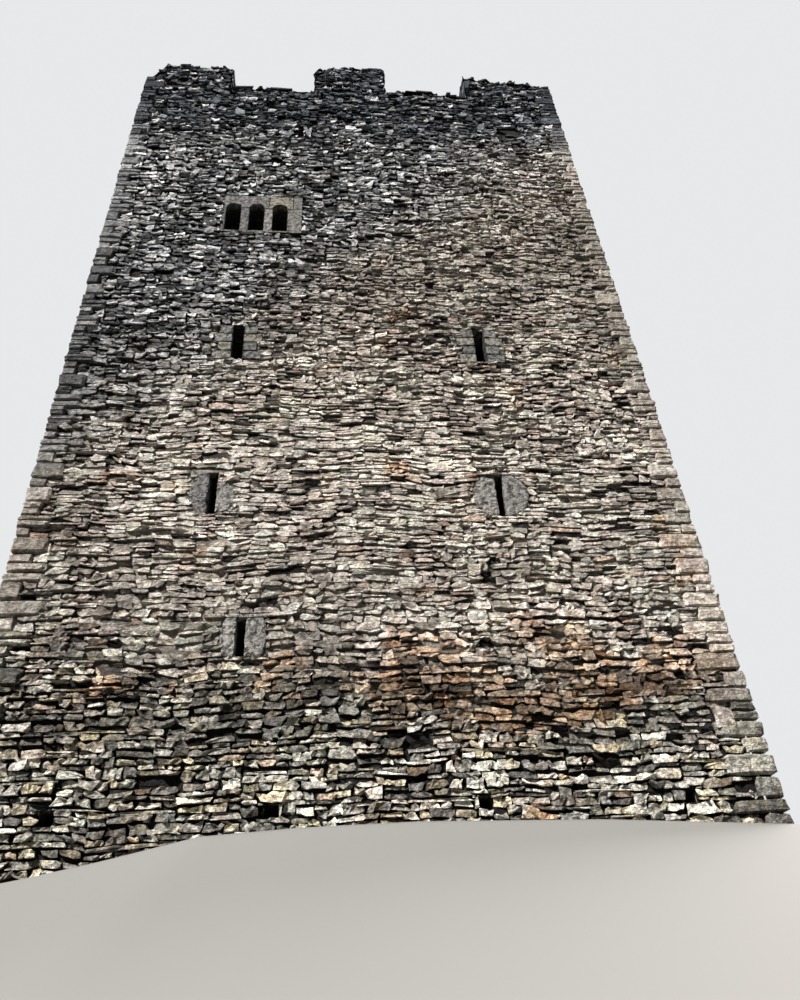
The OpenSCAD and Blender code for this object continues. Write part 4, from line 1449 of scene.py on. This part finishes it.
def woodMaterial():
    material, tree, shader, place = newMaterial("weatheredOak", 0.8)
    tone = toneOf(tree)
    # Each board's tone shifts its grain
    shifted = vectorOf(tree, "MULTIPLY_ADD", place, tone["Color"], tone["Vector"])[0]
    grain = noiseOf(tree, shifted, 7.0, 6.0, 0.65, stretch=(9.0, 0.45, 9.0))
    level = slopeOf(tree, grain, 0.8, product(tree, partsOf(tree, tone["Color"])[0], 0.35))
    coat(tree, shader, rampOf(tree, level, timber["tones"]), grain, 0.5, 0.004)
    return material


weatheredOak = woodMaterial()


def boardFloor(node):
    # Boards across the joists, one bevelled board copied along the floor
    a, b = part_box(node)
    count = max(1, round((b.x - a.x) / timber["board"]))
    pitch = (b.x - a.x) / count
    size = (pitch - timber["gap"], b.y - a.y, b.z - a.z)
    board = newBlock(node + "_boards", size, (a.x + pitch / 2, (a.y + b.y) / 2, (a.z + b.z) / 2))
    editMode()
    selectAll()
    bpy.ops.mesh.bevel(offset=timber["edge"], segments=1, affect="EDGES")
    editMode(False)
    row = {"use_relative_offset": False, "use_constant_offset": True, "count": count}
    applyNew(board, "ARRAY", constant_offset_displace=(pitch, 0, 0), **row)
    points = pointsOf(board)
    index = np.clip(((points[:, 0] - a.x) / pitch).astype(int), 0, count - 1)
    picks = np.random.default_rng(len(node)).random((count, 3))
    paintTones(board.data, np.concatenate([picks[index], np.ones((len(points), 1))], 1))
    dress(board, weatheredOak, "boards", node)


for floorNode in ("first_floor", "second_floor", "third_floor", "roof_deck"):
    boardFloor(floorNode)
    wear(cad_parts[floorNode.split("_")[0] + "_joists"], weatheredOak)
print("decks laid")


def foundationCore():
    # The core that the foot's stones stand on, run down in line with the walls
    _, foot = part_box("front_foundation")
    top, inner = foot.z, -foot.y
    core = newBlock("foundation_core", (2 * wallHalf, 2 * wallHalf, top), (0, 0, top / 2))
    room = newBlock("room", (2 * inner, 2 * inner, 3 * top))
    onlySelect(core)
    applyNew(core, "BOOLEAN", object=room, solver="EXACT")
    bpy.data.objects.remove(room)
    dress(core, wallCore, "foundation_stone", *(side + "_foundation" for side in sideNames))


def galvanisedMaterial():
    material, tree, shader, place = newMaterial("galvanised", 0.45)
    spangle = noiseOf(tree, place, 60.0, 3.0, 0.5)
    zinc = rampOf(tree, spangle, [(0.3, (0.42, 0.43, 0.43)), (0.7, (0.66, 0.67, 0.66))])
    feed(tree, shader.inputs["Base Color"], zinc)
    feed(tree, shader.inputs["Metallic"], 0.6)
    return material


foundationCore()
wear(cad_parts["conductor_guard"], galvanisedMaterial())
for name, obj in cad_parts.items():
    if "wall" in name or "parapet" in name or "foundation" in name or name == "ground_floor":
        wear(obj, wallCore)
print("core and conductor finished")

# Light and stage

lighting = {
    "sunColour": (1.0, 0.965, 0.91),
    "key": (-0.50, -0.50, 0.71), "keyStrength": 8.5, "keyAngle": 1.0,
    "back": (0.60, 0.50, 0.62), "backStrength": 5.0, "backAngle": 30.0,  # for the sides in shade
    "sky": (0.66, 0.80, 1.0, 1.0), "skyStrength": 0.05,
    "seen": (0.80, 0.81, 0.82, 1.0),  # plain background, as the camera sees it
}


def placeSun(name):
    data = bpy.data.lights.new(name + "Sun", "SUN")
    data.energy = lighting[name + "Strength"]
    data.color = lighting["sunColour"]
    data.angle = math.radians(lighting[name + "Angle"])
    obj = showNew(name + "Sun", data)
    obj.rotation_euler = Vector(lighting[name]).to_track_quat("Z", "Y").to_euler()


def isSeen(tree):
    return addNode(tree, "LightPath").outputs["Is Camera Ray"]


def buildWorld():
    world = bpy.data.worlds.new("studio")
    bpy.context.scene.world = world
    world.use_nodes = True
    tree = world.node_tree
    tree.nodes.clear()
    seen = addNode(tree, "Background", {"Color": lighting["seen"], "Strength": 1.0})
    fill = addNode(tree, "Background", {"Color": lighting["sky"], "Strength": lighting["skyStrength"]})
    pick = addNode(tree, "MixShader", {0: isSeen(tree), 1: fill.outputs[0], 2: seen.outputs[0]})
    addNode(tree, "OutputWorld", {"Surface": pick.outputs[0]})


stageFloor = {
    "foot": [(-5.6, 0.0), (-4.3, 0.20), (-3.4, 0.36), (-2.25, 0.60), (-1.0, 0.66), (0.5, 0.68),
             (2.9, 0.62), (5.6, 0.46)],  # heights along the front
    "half": 5.6, "fade": 3.0,  # beside the front the floor falls to the lowest level
    "slope": 0.375, "front": 5.56, "edge": 5.5, "drop": 0.4,
    "colour": (0.195, 0.194, 0.190, 1.0),
    "unseen": (0.10, 0.10, 0.09, 1.0),
}


def stageMaterial():
    # Pale to the camera, dark to every other ray, so that the floor throws little light on the wall
    material, tree, shader, _ = newMaterial("stageFloor", 0.95)
    colour = mixOf(tree, isSeen(tree), stageFloor["unseen"], stageFloor["colour"])
    feed(tree, shader.inputs["Base Color"], colour)
    return material


def layStage():
    # A pale floor that rises to the front's foot and falls away from it
    floor = stageFloor
    xs = np.unique([*np.linspace(-7, 7, 57), -60, -30, -15, -10, 10, 15, 30, 60])
    ys = np.unique([*np.linspace(-6.4, -5.0, 8), -60, -40, -25, -17, -13, -10, -8, -7, 0, 7, 20, 60])
    x, y = (part.ravel() for part in np.meshgrid(xs, ys))
    foot = np.interp(x, *zip(*floor["foot"])) * np.clip(1 - (np.abs(x) - floor["half"]) / floor["fade"], 0, 1)
    front = foot - floor["slope"] * np.maximum(0.0, -floor["front"] - y)
    back = foot * np.clip(1 - (y + floor["edge"]) / floor["drop"], 0, 1) - 0.002
    starts = (np.arange(len(ys) - 1)[:, None] * len(xs) + np.arange(len(xs) - 1)).ravel().tolist()
    mesh = bpy.data.meshes.new("stage_floor")
    points = np.stack([x, y, np.where(y < -floor["edge"], front, back)], 1).tolist()
    mesh.from_pydata(points, [], [(a, a + 1, a + 1 + len(xs), a + len(xs)) for a in starts])
    mesh.shade_smooth()
    mesh.materials.append(stageMaterial())
    showNew("stage_floor", mesh)


placeSun("key")
placeSun("back")
buildWorld()
layStage()
bpy.context.scene.view_settings.view_transform = "Standard"
bpy.context.scene.cycles.max_bounces = 3
